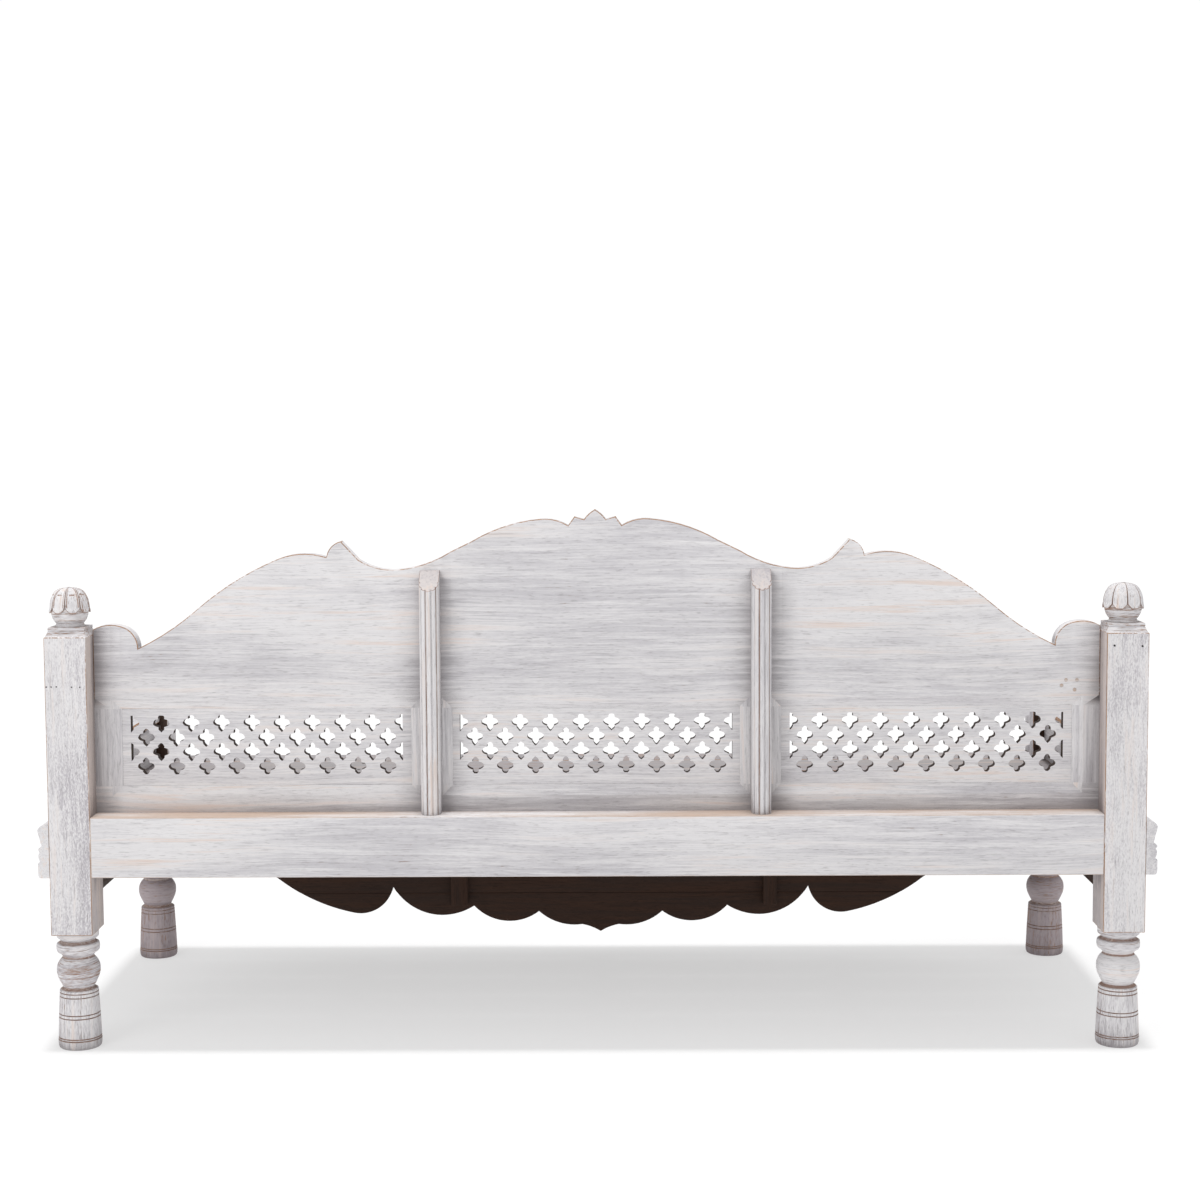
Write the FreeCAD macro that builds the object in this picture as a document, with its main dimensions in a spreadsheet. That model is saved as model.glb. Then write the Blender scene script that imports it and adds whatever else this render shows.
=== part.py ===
import FreeCAD, Part
import math
import os
import Sketcher

# A takht: a long whitewashed wooden day bed with turned feet, lotus bud finials, a pierced
# lattice back under a scalloped crest board, and a scalloped front apron.
# Millimetres. +Z is up, the floor is Z = 0, the seat is entered from -Y and the back is at +Y.
# "left" and "right" are those of a person who stands in front of it: left is -X.

os.makedirs("parts", exist_ok=True)
doc = FreeCAD.newDocument("takht")

# Driving dimensions: name, value, what it measures.
SIZES = (
    ("post_spacing_x", 1920, "between the post axes along the length"),
    ("post_spacing_y", 687, "between the post axes front to back"),
    ("post_width", 76, "post section along the length"),
    ("post_depth", 90, "post section front to back"),
    ("back_post_top", 765, "corners of the back posts' square part, above the floor"),
    ("front_post_top", 575, "corners of the front posts' square part, above the floor"),
    ("post_crown", 6, "rise of the arched top edge of each post face"),
    ("collar_width", 63, "square collar under the finial"),
    ("collar_rise", 17, "collar top above the post's corners"),
    ("foot_height", 217, "turned foot, floor to post"),
    ("foot_width", 80, "turned foot, largest diameter"),
    ("foot_tenon", 28, "square tenon on the foot"),
    ("foot_tenon_length", 60, "how far the foot's tenon enters the post"),
    ("finial_width", 80, "lotus bud, largest diameter"),
    ("finial_height", 73, "lotus bud above its collar"),
    ("finial_pin", 18, "square pin under the bud"),
    ("finial_pin_length", 38, "how far the pin enters the post"),
    ("rail_low", 324, "underside of all four rails, above the floor"),
    ("back_rail_height", 111, "back rail, underside to ledge"),
    ("front_rail_depth", 40, "front rail, front to back"),
    ("seat_height", 430, "deck top above the floor"),
    ("deck_thick", 22, "deck boards"),
    ("deck_gap", 2, "gap between deck boards"),
    ("end_setback", 3, "end rail behind the posts' inner faces"),
    ("tenon_thick", 24, "tenons of the heavy rails"),
    ("thin_tenon", 16, "tenons of the front rail and the bearers"),
    ("tenon_length", 45, "tenons that lie along the length"),
    ("short_tenon", 28, "tenons that lie front to back"),
    ("tenon_inset", 18, "shoulder above and below a tenon"),
    ("bearer_width", 45, "cross bearer under the deck"),
    ("bearer_height", 60, "cross bearer under the deck"),
    ("bearer_spacing", 500, "between cross bearers"),
    ("moulding_height", 96, "carved moulding round three sides"),
    ("moulding_thick", 21, "carved moulding, how far it stands out"),
    ("panel_setback", 55, "ledge behind the back panel"),
    ("panel_thick", 32, "crest board, stiles and bottom rail"),
    ("panel_rail_height", 49, "bottom rail of the back panel"),
    ("field_height", 143, "lattice opening between bottom rail and crest board"),
    ("crest_height", 990, "tip of the crest above the floor"),
    ("end_stile_width", 49, "stile beside the post"),
    ("mid_stile_width", 76, "stile behind the batten"),
    ("mid_stile_spacing", 604, "between the middle stiles' centre lines"),
    ("lattice_thick", 18, "pierced boards"),
    ("groove_depth", 8, "groove that houses the pierced boards"),
    ("hole_pitch_x", 55.7, "between holes of one row"),
    ("hole_pitch_z", 27, "between rows of holes"),
    ("hole_width", 31, "pierced quatrefoil, width"),
    ("hole_height", 34, "pierced quatrefoil, height"),
    ("hole_trim", 2.5, "flat end of the outer rows of holes"),
    ("lattice_rise", 4, "rows of holes above the middle of the opening"),
    ("tongue_thick", 12, "tongues that enter the posts"),
    ("tongue_length", 11, "tongues that enter the posts"),
    ("panel_tongue_top", 740, "end of the back panel's tongue above the floor"),
    ("batten_width", 36, "upright batten on the back"),
    ("batten_depth", 46, "upright batten on the back"),
    ("batten_top", 881, "batten's top at the panel, above the floor"),
    ("batten_bevel", 36, "fall of the batten's bevelled top"),
    ("apron_thick", 22, "front and end aprons"),
    ("apron_setback", 3, "front apron behind the posts' front faces"),
    ("apron_drop", 280, "front apron, rail to its lowest tip"),
    ("apron_seam", 130, "joint between the apron's two boards, above the floor"),
    ("end_apron_drop", 41, "end apron beside the posts"),
    ("end_apron_dip", 18, "extra drop at the middle of the end apron"),
    ("cleat_thick", 15, "cleats behind the front apron"),
    ("cleat_low", 105, "cleats' lower ends above the floor"),
    ("right_cleat_place", 306, "right cleat from the middle"),
    ("right_cleat_width", 37, "right cleat"),
    ("left_cleat_place", 367, "left cleat from the middle"),
    ("left_cleat_width", 29, "left cleat"),
    ("arm_thick", 28, "arm panel"),
    ("arm_rail_width", 45, "arm rail"),
    ("arm_rail_height", 35, "arm rail"),
    ("arm_height", 120, "arm rail's top above the seat"),
    ("key_length", 45, "loose tenons that hold the back panel and the front apron"),
    ("key_height", 50, "loose tenons, half in each piece"),
    ("clearance", 0.3, "play of a tenon, tongue or pin in its hole"),
    ("overrun", 5, "how far a cutting shape passes the face that it cuts"),
)

sheet = doc.addObject("Spreadsheet::Sheet", "Sizes")
for row, (alias, amount, note) in enumerate(SIZES, 1):
    sheet.set(f"A{row}", note)
    sheet.set(f"B{row}", str(amount))
    sheet.setAlias(f"B{row}", alias)
doc.recompute()


class Size:
    """A length: its number, and the formula on the sheet's cells that gives it."""

    def __init__(self, number, formula):
        self.number = number
        self.formula = formula

    def __add__(self, other):
        other = sized(other)
        return Size(self.number + other.number, f"({self.formula} + {other.formula})")

    def __sub__(self, other):
        other = sized(other)
        return Size(self.number - other.number, f"({self.formula} - {other.formula})")

    def __mul__(self, times):
        return Size(self.number * times, f"({self.formula} * {times:.6f})")

    def __truediv__(self, parts):
        return Size(self.number / parts, f"({self.formula} / {parts})")

    def __neg__(self):
        return self * -1


def sized(amount):
    """Zero, the one bare length, as a Size."""
    return amount if isinstance(amount, Size) else Size(amount, str(amount))


cell = {alias: Size(float(sheet.get(alias)), f"Sizes.{alias}") for alias, _, _ in SIZES}
clearance = cell["clearance"]
overrun = cell["overrun"]

# Places along the length.
half_span = cell["post_spacing_x"] / 2
inner_x = half_span - cell["post_width"] / 2
outer_x = half_span + cell["post_width"] / 2
arm_x = half_span
mid_stile_x = cell["mid_stile_spacing"] / 2

# Places front to back.
back_y = (cell["post_spacing_y"] + cell["moulding_thick"]) / 2
front_y = back_y - cell["post_spacing_y"]
rear_face = back_y + cell["post_depth"] / 2
back_inner = back_y - cell["post_depth"] / 2
front_inner = front_y + cell["post_depth"] / 2
front_face = front_y - cell["post_depth"] / 2
front_rail_inner = front_face + cell["front_rail_depth"]
panel_rear = rear_face - cell["panel_setback"]
panel_front = panel_rear - cell["panel_thick"]
panel_mid = panel_rear - cell["panel_thick"] / 2
apron_front = front_face + cell["apron_setback"]
apron_rear = apron_front + cell["apron_thick"]
apron_mid = apron_front + cell["apron_thick"] / 2
batten_nose = panel_rear + cell["batten_depth"]

# Heights above the floor.
rail_low = cell["rail_low"]
ledge = rail_low + cell["back_rail_height"]
seat = cell["seat_height"]
deck_low = seat - cell["deck_thick"]
field_low = ledge + cell["panel_rail_height"]
field_high = field_low + cell["field_height"]
arm_top = seat + cell["arm_height"]
arm_rail_low = arm_top - cell["arm_rail_height"]

bodies = []
solids_wanted = {}


def bind(thing, path, size):
    """Ties a property to the sheet."""
    thing.setExpression(path, sized(size).formula)


def new_body(label, solids=1):
    """One sub-part. A pair or a group holds several solids."""
    body = doc.addObject("PartDesign::Body", label)
    body.Label = label
    body.AllowCompound = solids > 1
    bodies.append(body)
    solids_wanted[label] = solids
    return body


def own_plane(body, role):
    return next(item for item in body.Origin.OriginFeatures if item.Role == role)


def place_point(sketch, geometry, end, point):
    """Fixes one point of the sketch by two distances that the sheet drives."""
    for kind, size in (("DistanceX", point[0]), ("DistanceY", point[1])):
        size = sized(size)
        index = sketch.addConstraint(Sketcher.Constraint(kind, -1, 1, geometry, end, size.number))
        sketch.setExpression(f"Constraints[{index}]", size.formula)


def end_near(sketch, geometry, point):
    """Which end of a line or arc lies at the point: 1 or 2."""
    spot = vector(point)
    first = sketch.getPoint(geometry, 1).distanceToPoint(spot)
    return 1 if first < sketch.getPoint(geometry, 2).distanceToPoint(spot) else 2


def vector(point):
    return FreeCAD.Vector(sized(point[0]).number, sized(point[1]).number, 0)


def draw_loop(sketch, start, steps):
    """A closed loop. A step is (end,) for a line and (through, end) for an arc."""
    here = start
    pieces = []
    for step in steps:
        end = step[-1]
        if len(step) == 1:
            curve = Part.LineSegment(vector(here), vector(end))
        else:
            curve = Part.Arc(vector(here), vector(step[0]), vector(end))
        geometry = sketch.addGeometry(curve, False)
        pieces.append((geometry, here, end))
        if len(step) == 2:
            mark = sketch.addGeometry(Part.Point(vector(step[0])), True)
            place_point(sketch, mark, 1, step[0])
            sketch.addConstraint(Sketcher.Constraint("PointOnObject", mark, 1, geometry))
        here = end
    for (geometry, here, end), (after, after_here, _) in zip(pieces, pieces[1:] + pieces[:1]):
        last = end_near(sketch, geometry, end)
        first = end_near(sketch, after, after_here)
        sketch.addConstraint(Sketcher.Constraint("Coincident", geometry, last, after, first))
        place_point(sketch, after, first, after_here)


def new_sketch(body, name, role, height=0, across=0):
    """A sketch on one of the body's own planes, moved along its normal and its first axis."""
    sketch = body.newObject("Sketcher::SketchObject", name)
    sketch.AttachmentSupport = (own_plane(body, role), [""])
    sketch.MapMode = "FlatFace"
    bind(sketch, "AttachmentOffset.Base.z", height)
    bind(sketch, "AttachmentOffset.Base.x", across)
    return sketch


def pad(body, name, role, low, high, loops):
    """Solid between two places along the plane's axis. The XZ plane looks towards -Y."""
    sketch = new_sketch(body, name + "_sketch", role, -high if role == "XZ_Plane" else low)
    for start, steps in loops:
        draw_loop(sketch, start, steps)
    feature = body.newObject("PartDesign::Pad", name)
    feature.Profile = sketch
    bind(feature, "Length", high - low)
    return feature


def pocket(body, name, role, low, high, loops):
    """Cut between two places along the plane's axis. It runs against the plane's normal."""
    sketch = new_sketch(body, name + "_sketch", role, -low if role == "XZ_Plane" else high)
    for start, steps in loops:
        draw_loop(sketch, start, steps)
    feature = body.newObject("PartDesign::Pocket", name)
    feature.Profile = sketch
    bind(feature, "Length", high - low)
    return feature


def box(body, name, kind, x, y, z):
    """An added or removed block between three pairs of places."""
    feature = body.newObject(f"PartDesign::{kind}Box", name)
    for size, base, (low, high) in (("Length", "x", x), ("Width", "y", y), ("Height", "z", z)):
        bind(feature, size, high - low)
        bind(feature, f"Placement.Base.{base}", low)
    return feature


def add_box(body, name, x, y, z):
    return box(body, name, "Additive", x, y, z)


def cut_box(body, name, x, y, z):
    return box(body, name, "Subtractive", x, y, z)


def rectangle(x, y):
    """A loop round two pairs of places."""
    return (x[0], y[0]), [((x[1], y[0]),), ((x[1], y[1]),), ((x[0], y[1]),), ((x[0], y[0]),)]


def polygon(corners):
    return corners[0], [(corner,) for corner in corners[1:] + corners[:1]]


def around(middle, width):
    return middle - width / 2, middle + width / 2


def on_side(side, near, far):
    """A pair of places at that side of the middle: side is 1 or -1."""
    return (near, far) if side > 0 else (-far, -near)


def grown(pair, amount):
    return pair[0] - amount, pair[1] + amount


def both_sides(start, steps):
    """Closes a half outline, given from the middle outwards, with its mirror image."""
    corners = [start] + [step[-1] for step in steps]
    back = [((-corners[-1][0], corners[-1][1]),)]
    for step, corner in zip(reversed(steps), reversed(corners[:-1])):
        mirrored = tuple((-x, y) for x, y in step[:-1])
        back.append(mirrored + ((-corner[0], corner[1]),))
    return start, steps + back


def scaled(shares, width, low, rise):
    """Steps of an outline from shares of a width and a rise."""
    return [tuple((width * x, low + rise * y) for x, y in step) for step in shares]


def double(body, name):
    """The whole body again, mirrored to the other end of the day bed."""
    doc.recompute()
    copy = body.newObject("PartDesign::Mirrored", name)
    copy.TransformMode = "Whole shape"
    copy.MirrorPlane = (own_plane(body, "YZ_Plane"), [""])
    body.Tip = copy


# Half outlines. Shares of the outline's greatest half width or radius and of its rise.
CREST_SHARES = (
    ((0.0098, 0.989), (0.0217, 0.9676)),
    ((0.0407, 0.9766),),
    ((0.0531, 0.9477),),
    ((0.0759, 0.9649), (0.1085, 0.9694)),
    ((0.179, 0.9459), (0.244, 0.8973)),
    ((0.2874, 0.8622),),
    ((0.3308, 0.827), (0.3872, 0.8054)),
    ((0.436, 0.8126), (0.4685, 0.8369)),
    ((0.5033, 0.8991),),
    ((0.5217, 0.8829), (0.5325, 0.8468)),
    ((0.5748, 0.8586), (0.628, 0.8423)),
    ((0.718, 0.7658), (0.7918, 0.6757)),
    ((0.8514, 0.6018), (0.91, 0.5477)),
    ((0.9165, 0.5874), (0.9349, 0.6162)),
    ((0.9588, 0.6261), (1, 0.6108)),
)
APRON_SHARES = (
    ((0.0217, 0.9643), (0.0434, 0.9446)),
    ((0.103, 0.925), (0.1453, 0.841)),
    ((0.2169, 0.9179), (0.2983, 0.7964)),
    ((0.3416, 0.8571), (0.385, 0.8679)),
    ((0.4425, 0.8036), (0.4892, 0.6429)),
    ((0.5098, 0.775), (0.5803, 0.85)),
    ((0.6616, 0.7679), (0.7592, 0.5786)),
    ((0.8406, 0.4179),),
    ((0.9165, 0.4786), (1, 0.3536)),
)
FOOT_SHARES = (
    ((0.95, 1),),
    ((0.79, 0.91),),
    ((0.975, 0.865),),
    ((0.7, 0.78),),
    ((0.97, 0.715),),
    ((0.97, 0.61),),
    ((0.7, 0.52),),
    ((0.875, 0.502),),
    ((1, 0),),
    ((0, 0),),
)
# Sections of the lotus bud: height, reach of the petals' middles, reach of the valleys between.
BUD_SHARES = (
    (0, 0.66, 1),
    (0.32, 0.85, 1),
    (0.35, 0.95, 0.9),
    (0.52, 1, 0.9),
    (0.84, 0.7, 0.9),
    (1, 0.3, 0.9),
)
PETALS = 8
MOULDING_SHARES = (
    ((0, 1),),
    ((0.72, 1),),
    ((1, 0.86), (0.78, 0.72)),
    ((0.36, 0.62), (0.62, 0.53)),
    ((0.88, 0.4), (0.62, 0.28)),
    ((0.9, 0.26),),
    ((0.9, 0),),
)
HOLE_NOTCH_SHARES = (0.42, 0.43)


def post(label, side, axis_y, top, inward, rail_mid, rail_thick):
    """A square post with an arched, collared top and mortises for all that meets it.

    side is 1 or -1 along X, inward is the way to the other post of that end along Y.
    """
    body = new_body(label)
    bind(body, "Placement.Base.x", half_span * side)
    bind(body, "Placement.Base.y", axis_y)
    x = around(sized(0), cell["post_width"])
    y = around(sized(0), cell["post_depth"])
    crown = top + cell["post_crown"]
    pad(body, "square", "XY_Plane", cell["foot_height"], crown, [rectangle(x, y)])
    for name, role, pair, other in (("long_arch", "XZ_Plane", x, y), ("cross_arch", "YZ_Plane", y, x)):
        low, high = pair
        above = crown + overrun
        arch = ((low, top), [((0, crown), (high, top)), ((high, above),), ((low, above),), ((low, top),)])
        pocket(body, name, role, *grown(other, overrun), [arch])
    collar = around(sized(0), cell["collar_width"])
    collar_top = top + cell["collar_rise"]
    pad(body, "collar", "XY_Plane", top - overrun, collar_top, [rectangle(collar, collar)])
    hole = around(sized(0), cell["foot_tenon"] + clearance * 2)
    foot_top = cell["foot_height"]
    cut_box(body, "foot_mortise", hole, hole,
            (foot_top - overrun, foot_top + cell["foot_tenon_length"] + clearance))
    hole = around(sized(0), cell["finial_pin"] + clearance * 2)
    cut_box(body, "pin_hole", hole, hole,
            (collar_top - cell["finial_pin_length"] - clearance, collar_top + overrun))

    inner_face = cell["post_width"] / 2
    facing_face = cell["post_depth"] / 2

    def along_x(name, length, middle, thick, z):
        reach = on_side(-side, inner_face - length - clearance, inner_face + overrun)
        cut_box(body, name, reach, around(middle, thick + clearance * 2), grown(z, clearance))

    def along_y(name, length, middle, thick, z):
        reach = on_side(inward, facing_face - length - clearance, facing_face + overrun)
        cut_box(body, name, around(middle, thick + clearance * 2), reach, grown(z, clearance))

    rail_top = ledge if inward < 0 else deck_low
    along_x("rail_mortise", cell["tenon_length"], rail_mid - axis_y, rail_thick,
            (rail_low + cell["tenon_inset"], rail_top - cell["tenon_inset"]))
    along_y("end_rail_mortise", cell["short_tenon"], end_rail_mid * side - half_span * side,
            cell["tenon_thick"], end_tenon_z)
    along_y("arm_rail_mortise", cell["short_tenon"], sized(0), cell["tongue_thick"], arm_tenon_z)
    along_y("arm_groove", cell["tongue_length"], sized(0), cell["tongue_thick"],
            (seat, arm_rail_low - cell["tenon_inset"]))
    along_y("end_apron_groove", cell["tongue_length"], end_apron_mid * side - half_span * side,
            cell["tongue_thick"], end_apron_tongue_z)
    if inward < 0:
        along_x("panel_groove", cell["tongue_length"], panel_mid - axis_y, cell["tongue_thick"],
                (panel_tongue_low, cell["panel_tongue_top"]))
    else:
        along_x("apron_groove", cell["tongue_length"], apron_mid - axis_y, cell["tongue_thick"],
                apron_tongue_z)


# Joints that two pieces share.
end_rail_x = (inner_x + cell["end_setback"], outer_x)
end_rail_mid = (end_rail_x[0] + end_rail_x[1]) / 2
end_tenon_z = (rail_low + cell["tenon_inset"], deck_low - cell["tenon_inset"])
end_apron_x = (end_rail_x[0], end_rail_x[0] + cell["apron_thick"])
end_apron_mid = end_rail_x[0] + cell["apron_thick"] / 2
end_apron_low = rail_low - cell["end_apron_drop"]
end_apron_tongue_z = (end_apron_low + cell["end_apron_drop"] / 5, rail_low)
apron_tongue_z = (rail_low - cell["apron_drop"] / 4, rail_low)
panel_tongue_low = ledge + cell["tenon_inset"]
arm_tenon_z = (arm_rail_low + cell["groove_depth"], arm_top - cell["groove_depth"])
front_rail_mid = front_face + cell["front_rail_depth"] / 2

for name, side in (("left", -1), ("right", 1)):
    post(f"{name}_back_post", side, back_y, cell["back_post_top"], -1, back_y, cell["tenon_thick"])
    post(f"{name}_front_post", side, front_y, cell["front_post_top"], 1, front_rail_mid,
         cell["thin_tenon"])


def feet(label, axis_y):
    """Two turned feet: disc, ring, ball and a tapered drum, with a square tenon on top."""
    body = new_body(label, 2)
    bind(body, "Placement.Base.y", axis_y)
    height = cell["foot_height"]
    steps = scaled(FOOT_SHARES, cell["foot_width"] / 2, sized(0), height)
    profile = new_sketch(body, "profile", "XZ_Plane", 0, half_span)
    draw_loop(profile, (0, height), steps + [((0, height),)])
    turning = body.newObject("PartDesign::Revolution", "turned")
    turning.Profile = profile
    turning.ReferenceAxis = (profile, ["V_Axis"])
    tenon_x = around(half_span, cell["foot_tenon"])
    tenon_y = around(sized(0), cell["foot_tenon"])
    add_box(body, "tenon", tenon_x, tenon_y, (height, height + cell["foot_tenon_length"]))
    double(body, "other_foot")


def bud_section(reach, valley_share):
    """Sixteen corners: the petals' middles and the valleys between them."""
    corners = []
    for step in range(PETALS * 2):
        angle = math.pi * step / PETALS
        corner_reach = reach if step % 2 == 0 else reach * valley_share
        corners.append((corner_reach * math.cos(angle), corner_reach * math.sin(angle)))
    return polygon(corners)


def finials(label, axis_y, post_top):
    """Two lotus buds: a waisted bowl under eight carved petals that meet at the tip."""
    body = new_body(label, 2)
    bind(body, "Placement.Base.y", axis_y)
    base = post_top + cell["collar_rise"]
    radius = cell["finial_width"] / 2
    sections = []
    for number, (height, reach, valley) in enumerate(BUD_SHARES, 1):
        section = new_sketch(body, f"section_{number}", "XY_Plane",
                             base + cell["finial_height"] * height, half_span)
        draw_loop(section, *bud_section(radius * reach, valley))
        sections.append(section)
    bud = body.newObject("PartDesign::AdditiveLoft", "bud")
    bud.Profile = sections[0]
    bud.Sections = sections[1:]
    bud.Ruled = True
    pin_y = around(sized(0), cell["finial_pin"])
    add_box(body, "pin", around(half_span, cell["finial_pin"]), pin_y,
            (base - cell["finial_pin_length"], base))
    double(body, "other_bud")


feet("back_feet", back_y)
feet("front_feet", front_y)
finials("back_finials", back_y, cell["back_post_top"])
finials("front_finials", front_y, cell["front_post_top"])

# Loose tenons, called keys, stand at these places along the length.
PANEL_KEY_SHARES = (-0.84, -0.14, 0.14, 0.84)
APRON_KEY_SHARES = (-0.9, -0.2, 0.2, 0.9)
panel_keys = [inner_x * share for share in PANEL_KEY_SHARES]
apron_keys = [inner_x * share for share in APRON_KEY_SHARES]
key_half = cell["key_height"] / 2
BEARER_NAMES = ("left", "centre", "right")
bearer_places = [cell["bearer_spacing"] * step for step in (-1, 0, 1)]
bearer_z = (deck_low - cell["bearer_height"], deck_low)
bearer_tenon_z = (bearer_z[0] + cell["tenon_inset"], deck_low - cell["tenon_inset"])


def key_blocks(places, y_mid, play):
    """Rectangles round the keys, in plan."""
    thick = around(y_mid, cell["tongue_thick"] + play * 2)
    return [rectangle(around(place, cell["key_length"] + play * 2), thick) for place in places]


def key_mortises(body, places, y_mid, seam):
    pocket(body, "key_mortises", "XY_Plane", seam - key_half - clearance,
           seam + key_half + clearance, key_blocks(places, y_mid, clearance))


def long_rail(label, y, top, tenon_mid, tenon_thick, toward):
    """A rail along the length, tenoned at both ends, with mortises for the bearers.

    toward is the way to the other long rail: 1 or -1 along Y.
    """
    body = new_body(label)
    pad(body, "beam", "YZ_Plane", -inner_x, inner_x, [rectangle(y, (rail_low, top))])
    z = (rail_low + cell["tenon_inset"], top - cell["tenon_inset"])
    for name, side in (("left", -1), ("right", 1)):
        reach = on_side(side, inner_x, inner_x + cell["tenon_length"])
        add_box(body, name + "_tenon", reach, around(tenon_mid, tenon_thick), z)
    face = y[0] if toward < 0 else y[1]
    reach = cell["thin_tenon"] + clearance
    ends = (face - overrun, face + overrun)
    ends = (face - reach, ends[1]) if toward > 0 else (ends[0], face + reach)
    for name, place in zip(BEARER_NAMES, bearer_places):
        width = cell["thin_tenon"] + clearance * 2
        cut_box(body, name + "_mortise", around(place, width), ends, grown(bearer_tenon_z, clearance))
    return body


rail = long_rail("back_rail", (back_inner, rear_face), ledge, back_y, cell["tenon_thick"], -1)
key_mortises(rail, panel_keys, panel_mid, ledge)
rail = long_rail("front_rail", (front_face, front_rail_inner), deck_low, front_rail_mid,
                 cell["thin_tenon"], 1)
key_mortises(rail, apron_keys, apron_mid, rail_low)

for name, place in zip(BEARER_NAMES, bearer_places):
    body = new_body(f"{name}_bearer")
    bind(body, "Placement.Base.x", place)
    x = around(sized(0), cell["bearer_width"])
    pad(body, "beam", "XZ_Plane", front_rail_inner, back_inner, [rectangle(x, bearer_z)])
    tenon = around(sized(0), cell["thin_tenon"])
    add_box(body, "front_tenon", tenon, (front_rail_inner - cell["thin_tenon"], front_rail_inner),
            bearer_tenon_z)
    add_box(body, "back_tenon", tenon, (back_inner, back_inner + cell["thin_tenon"]), bearer_tenon_z)

WIDE_BOARDS = 4
board_pitch = (back_inner - front_inner) / WIDE_BOARDS
for number in range(WIDE_BOARDS):
    body = new_body(f"deck_board_{number + 1}")
    high = back_inner - board_pitch * number - cell["deck_gap"] / 2
    pad(body, "board", "XY_Plane", deck_low, seat,
        [rectangle((-outer_x, outer_x), (high - board_pitch + cell["deck_gap"], high))])
body = new_body("deck_front_board")
pad(body, "board", "XY_Plane", deck_low, seat,
    [rectangle((-inner_x, inner_x), (front_face, front_inner - cell["deck_gap"] / 2))])

# The back panel: a scalloped crest board, a bottom rail and four stiles round three fields.
lattice_y = around(panel_mid, cell["lattice_thick"])
groove_y = grown(lattice_y, clearance)
panel_y = (panel_front, panel_rear)
tongue_y = around(panel_mid, cell["tongue_thick"])
groove_play = cell["groove_depth"] - clearance


def end_tongues(body, z):
    for name, side in (("left", -1), ("right", 1)):
        reach = on_side(side, inner_x, inner_x + cell["tongue_length"])
        add_box(body, name + "_tongue", reach, tongue_y, z)


crest = new_body("crest_board")
crest_low = (inner_x, field_high)
crest_start = (0, cell["crest_height"])
crest_rise = cell["crest_height"] - ledge
crest_steps = scaled(CREST_SHARES, inner_x, ledge, crest_rise) + [(crest_low,)]
pad(crest, "board", "XZ_Plane", *panel_y, [both_sides(crest_start, crest_steps)])
end_tongues(crest, (field_high, cell["panel_tongue_top"]))
cut_box(crest, "lattice_groove", grown((-inner_x, inner_x), overrun), groove_y,
        (field_high - overrun, field_high + cell["groove_depth"]))

bottom = new_body("back_bottom_rail")
pad(bottom, "board", "XZ_Plane", *panel_y, [rectangle((-inner_x, inner_x), (ledge, field_low))])
end_tongues(bottom, (panel_tongue_low, field_low))
cut_box(bottom, "lattice_groove", grown((-inner_x, inner_x), overrun), groove_y,
        (field_low - cell["groove_depth"], field_low + overrun))
key_mortises(bottom, panel_keys, panel_mid, ledge)

field_z = (field_low, field_high)
end_stile_in = inner_x - cell["end_stile_width"]
mid_stile_x_pair = around(mid_stile_x, cell["mid_stile_width"])


def stile(label, x):
    """A stile whose stub tenons fill the grooves of the boards above and below it."""
    body = new_body(label)
    pad(body, "board", "XZ_Plane", *panel_y, [rectangle(x, field_z)])
    for name, z in (("lower", (field_low - groove_play, field_low)),
                    ("upper", (field_high, field_high + groove_play))):
        add_box(body, name + "_stub", x, lattice_y, z)
    return body


def stile_groove(body, name, x):
    cut_box(body, name, x, groove_y, grown(field_z, cell["groove_depth"]))


for name, side in (("left", -1), ("right", 1)):
    end_stile = stile(f"{name}_end_stile", on_side(side, end_stile_in, inner_x))
    stile_groove(end_stile, "groove",
                 on_side(side, end_stile_in - overrun, end_stile_in + cell["groove_depth"]))
    reach = on_side(side, inner_x, inner_x + cell["tongue_length"])
    add_box(end_stile, "tongue", reach, tongue_y, field_z)
    mid_stile = stile(f"{name}_mid_stile", on_side(side, *mid_stile_x_pair))
    low, high = mid_stile_x_pair
    stile_groove(mid_stile, "inner_groove", on_side(side, low - overrun, low + cell["groove_depth"]))
    stile_groove(mid_stile, "outer_groove", on_side(side, high - cell["groove_depth"], high + overrun))

# Pierced boards: quatrefoil holes in staggered rows, clipped straight at the ends of the field.
ROWS = 4
COLUMNS = 9
hole_half_width = cell["hole_width"] / 2
hole_half_height = cell["hole_height"] / 2
row_middle = field_low + cell["field_height"] / 2 + cell["lattice_rise"]


def hole_outline(middle, trim_top, trim_bottom, kept_side=0):
    """One quatrefoil about (0, middle), or only the half of it at the kept side."""
    def spot(x, y):
        return hole_half_width * x, middle + hole_half_height * y

    def tip(up, trim):
        if not trim:
            return [spot(0, up)]
        cut = cell["hole_trim"]
        edge = middle + (hole_half_height - cut) * up
        corners = [(-cut * up, edge), (cut * up, edge)]
        if kept_side:
            corners.insert(1, (sized(0), edge))
        return corners

    x, y = HOLE_NOTCH_SHARES
    loop = tip(1, trim_top) + [spot(x, y), spot(1, 0), spot(x, -y)]
    loop += tip(-1, trim_bottom) + [spot(-x, -y), spot(-1, 0), spot(-x, y)]
    return [corner for corner in loop if corner[0].number * kept_side >= 0]


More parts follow.
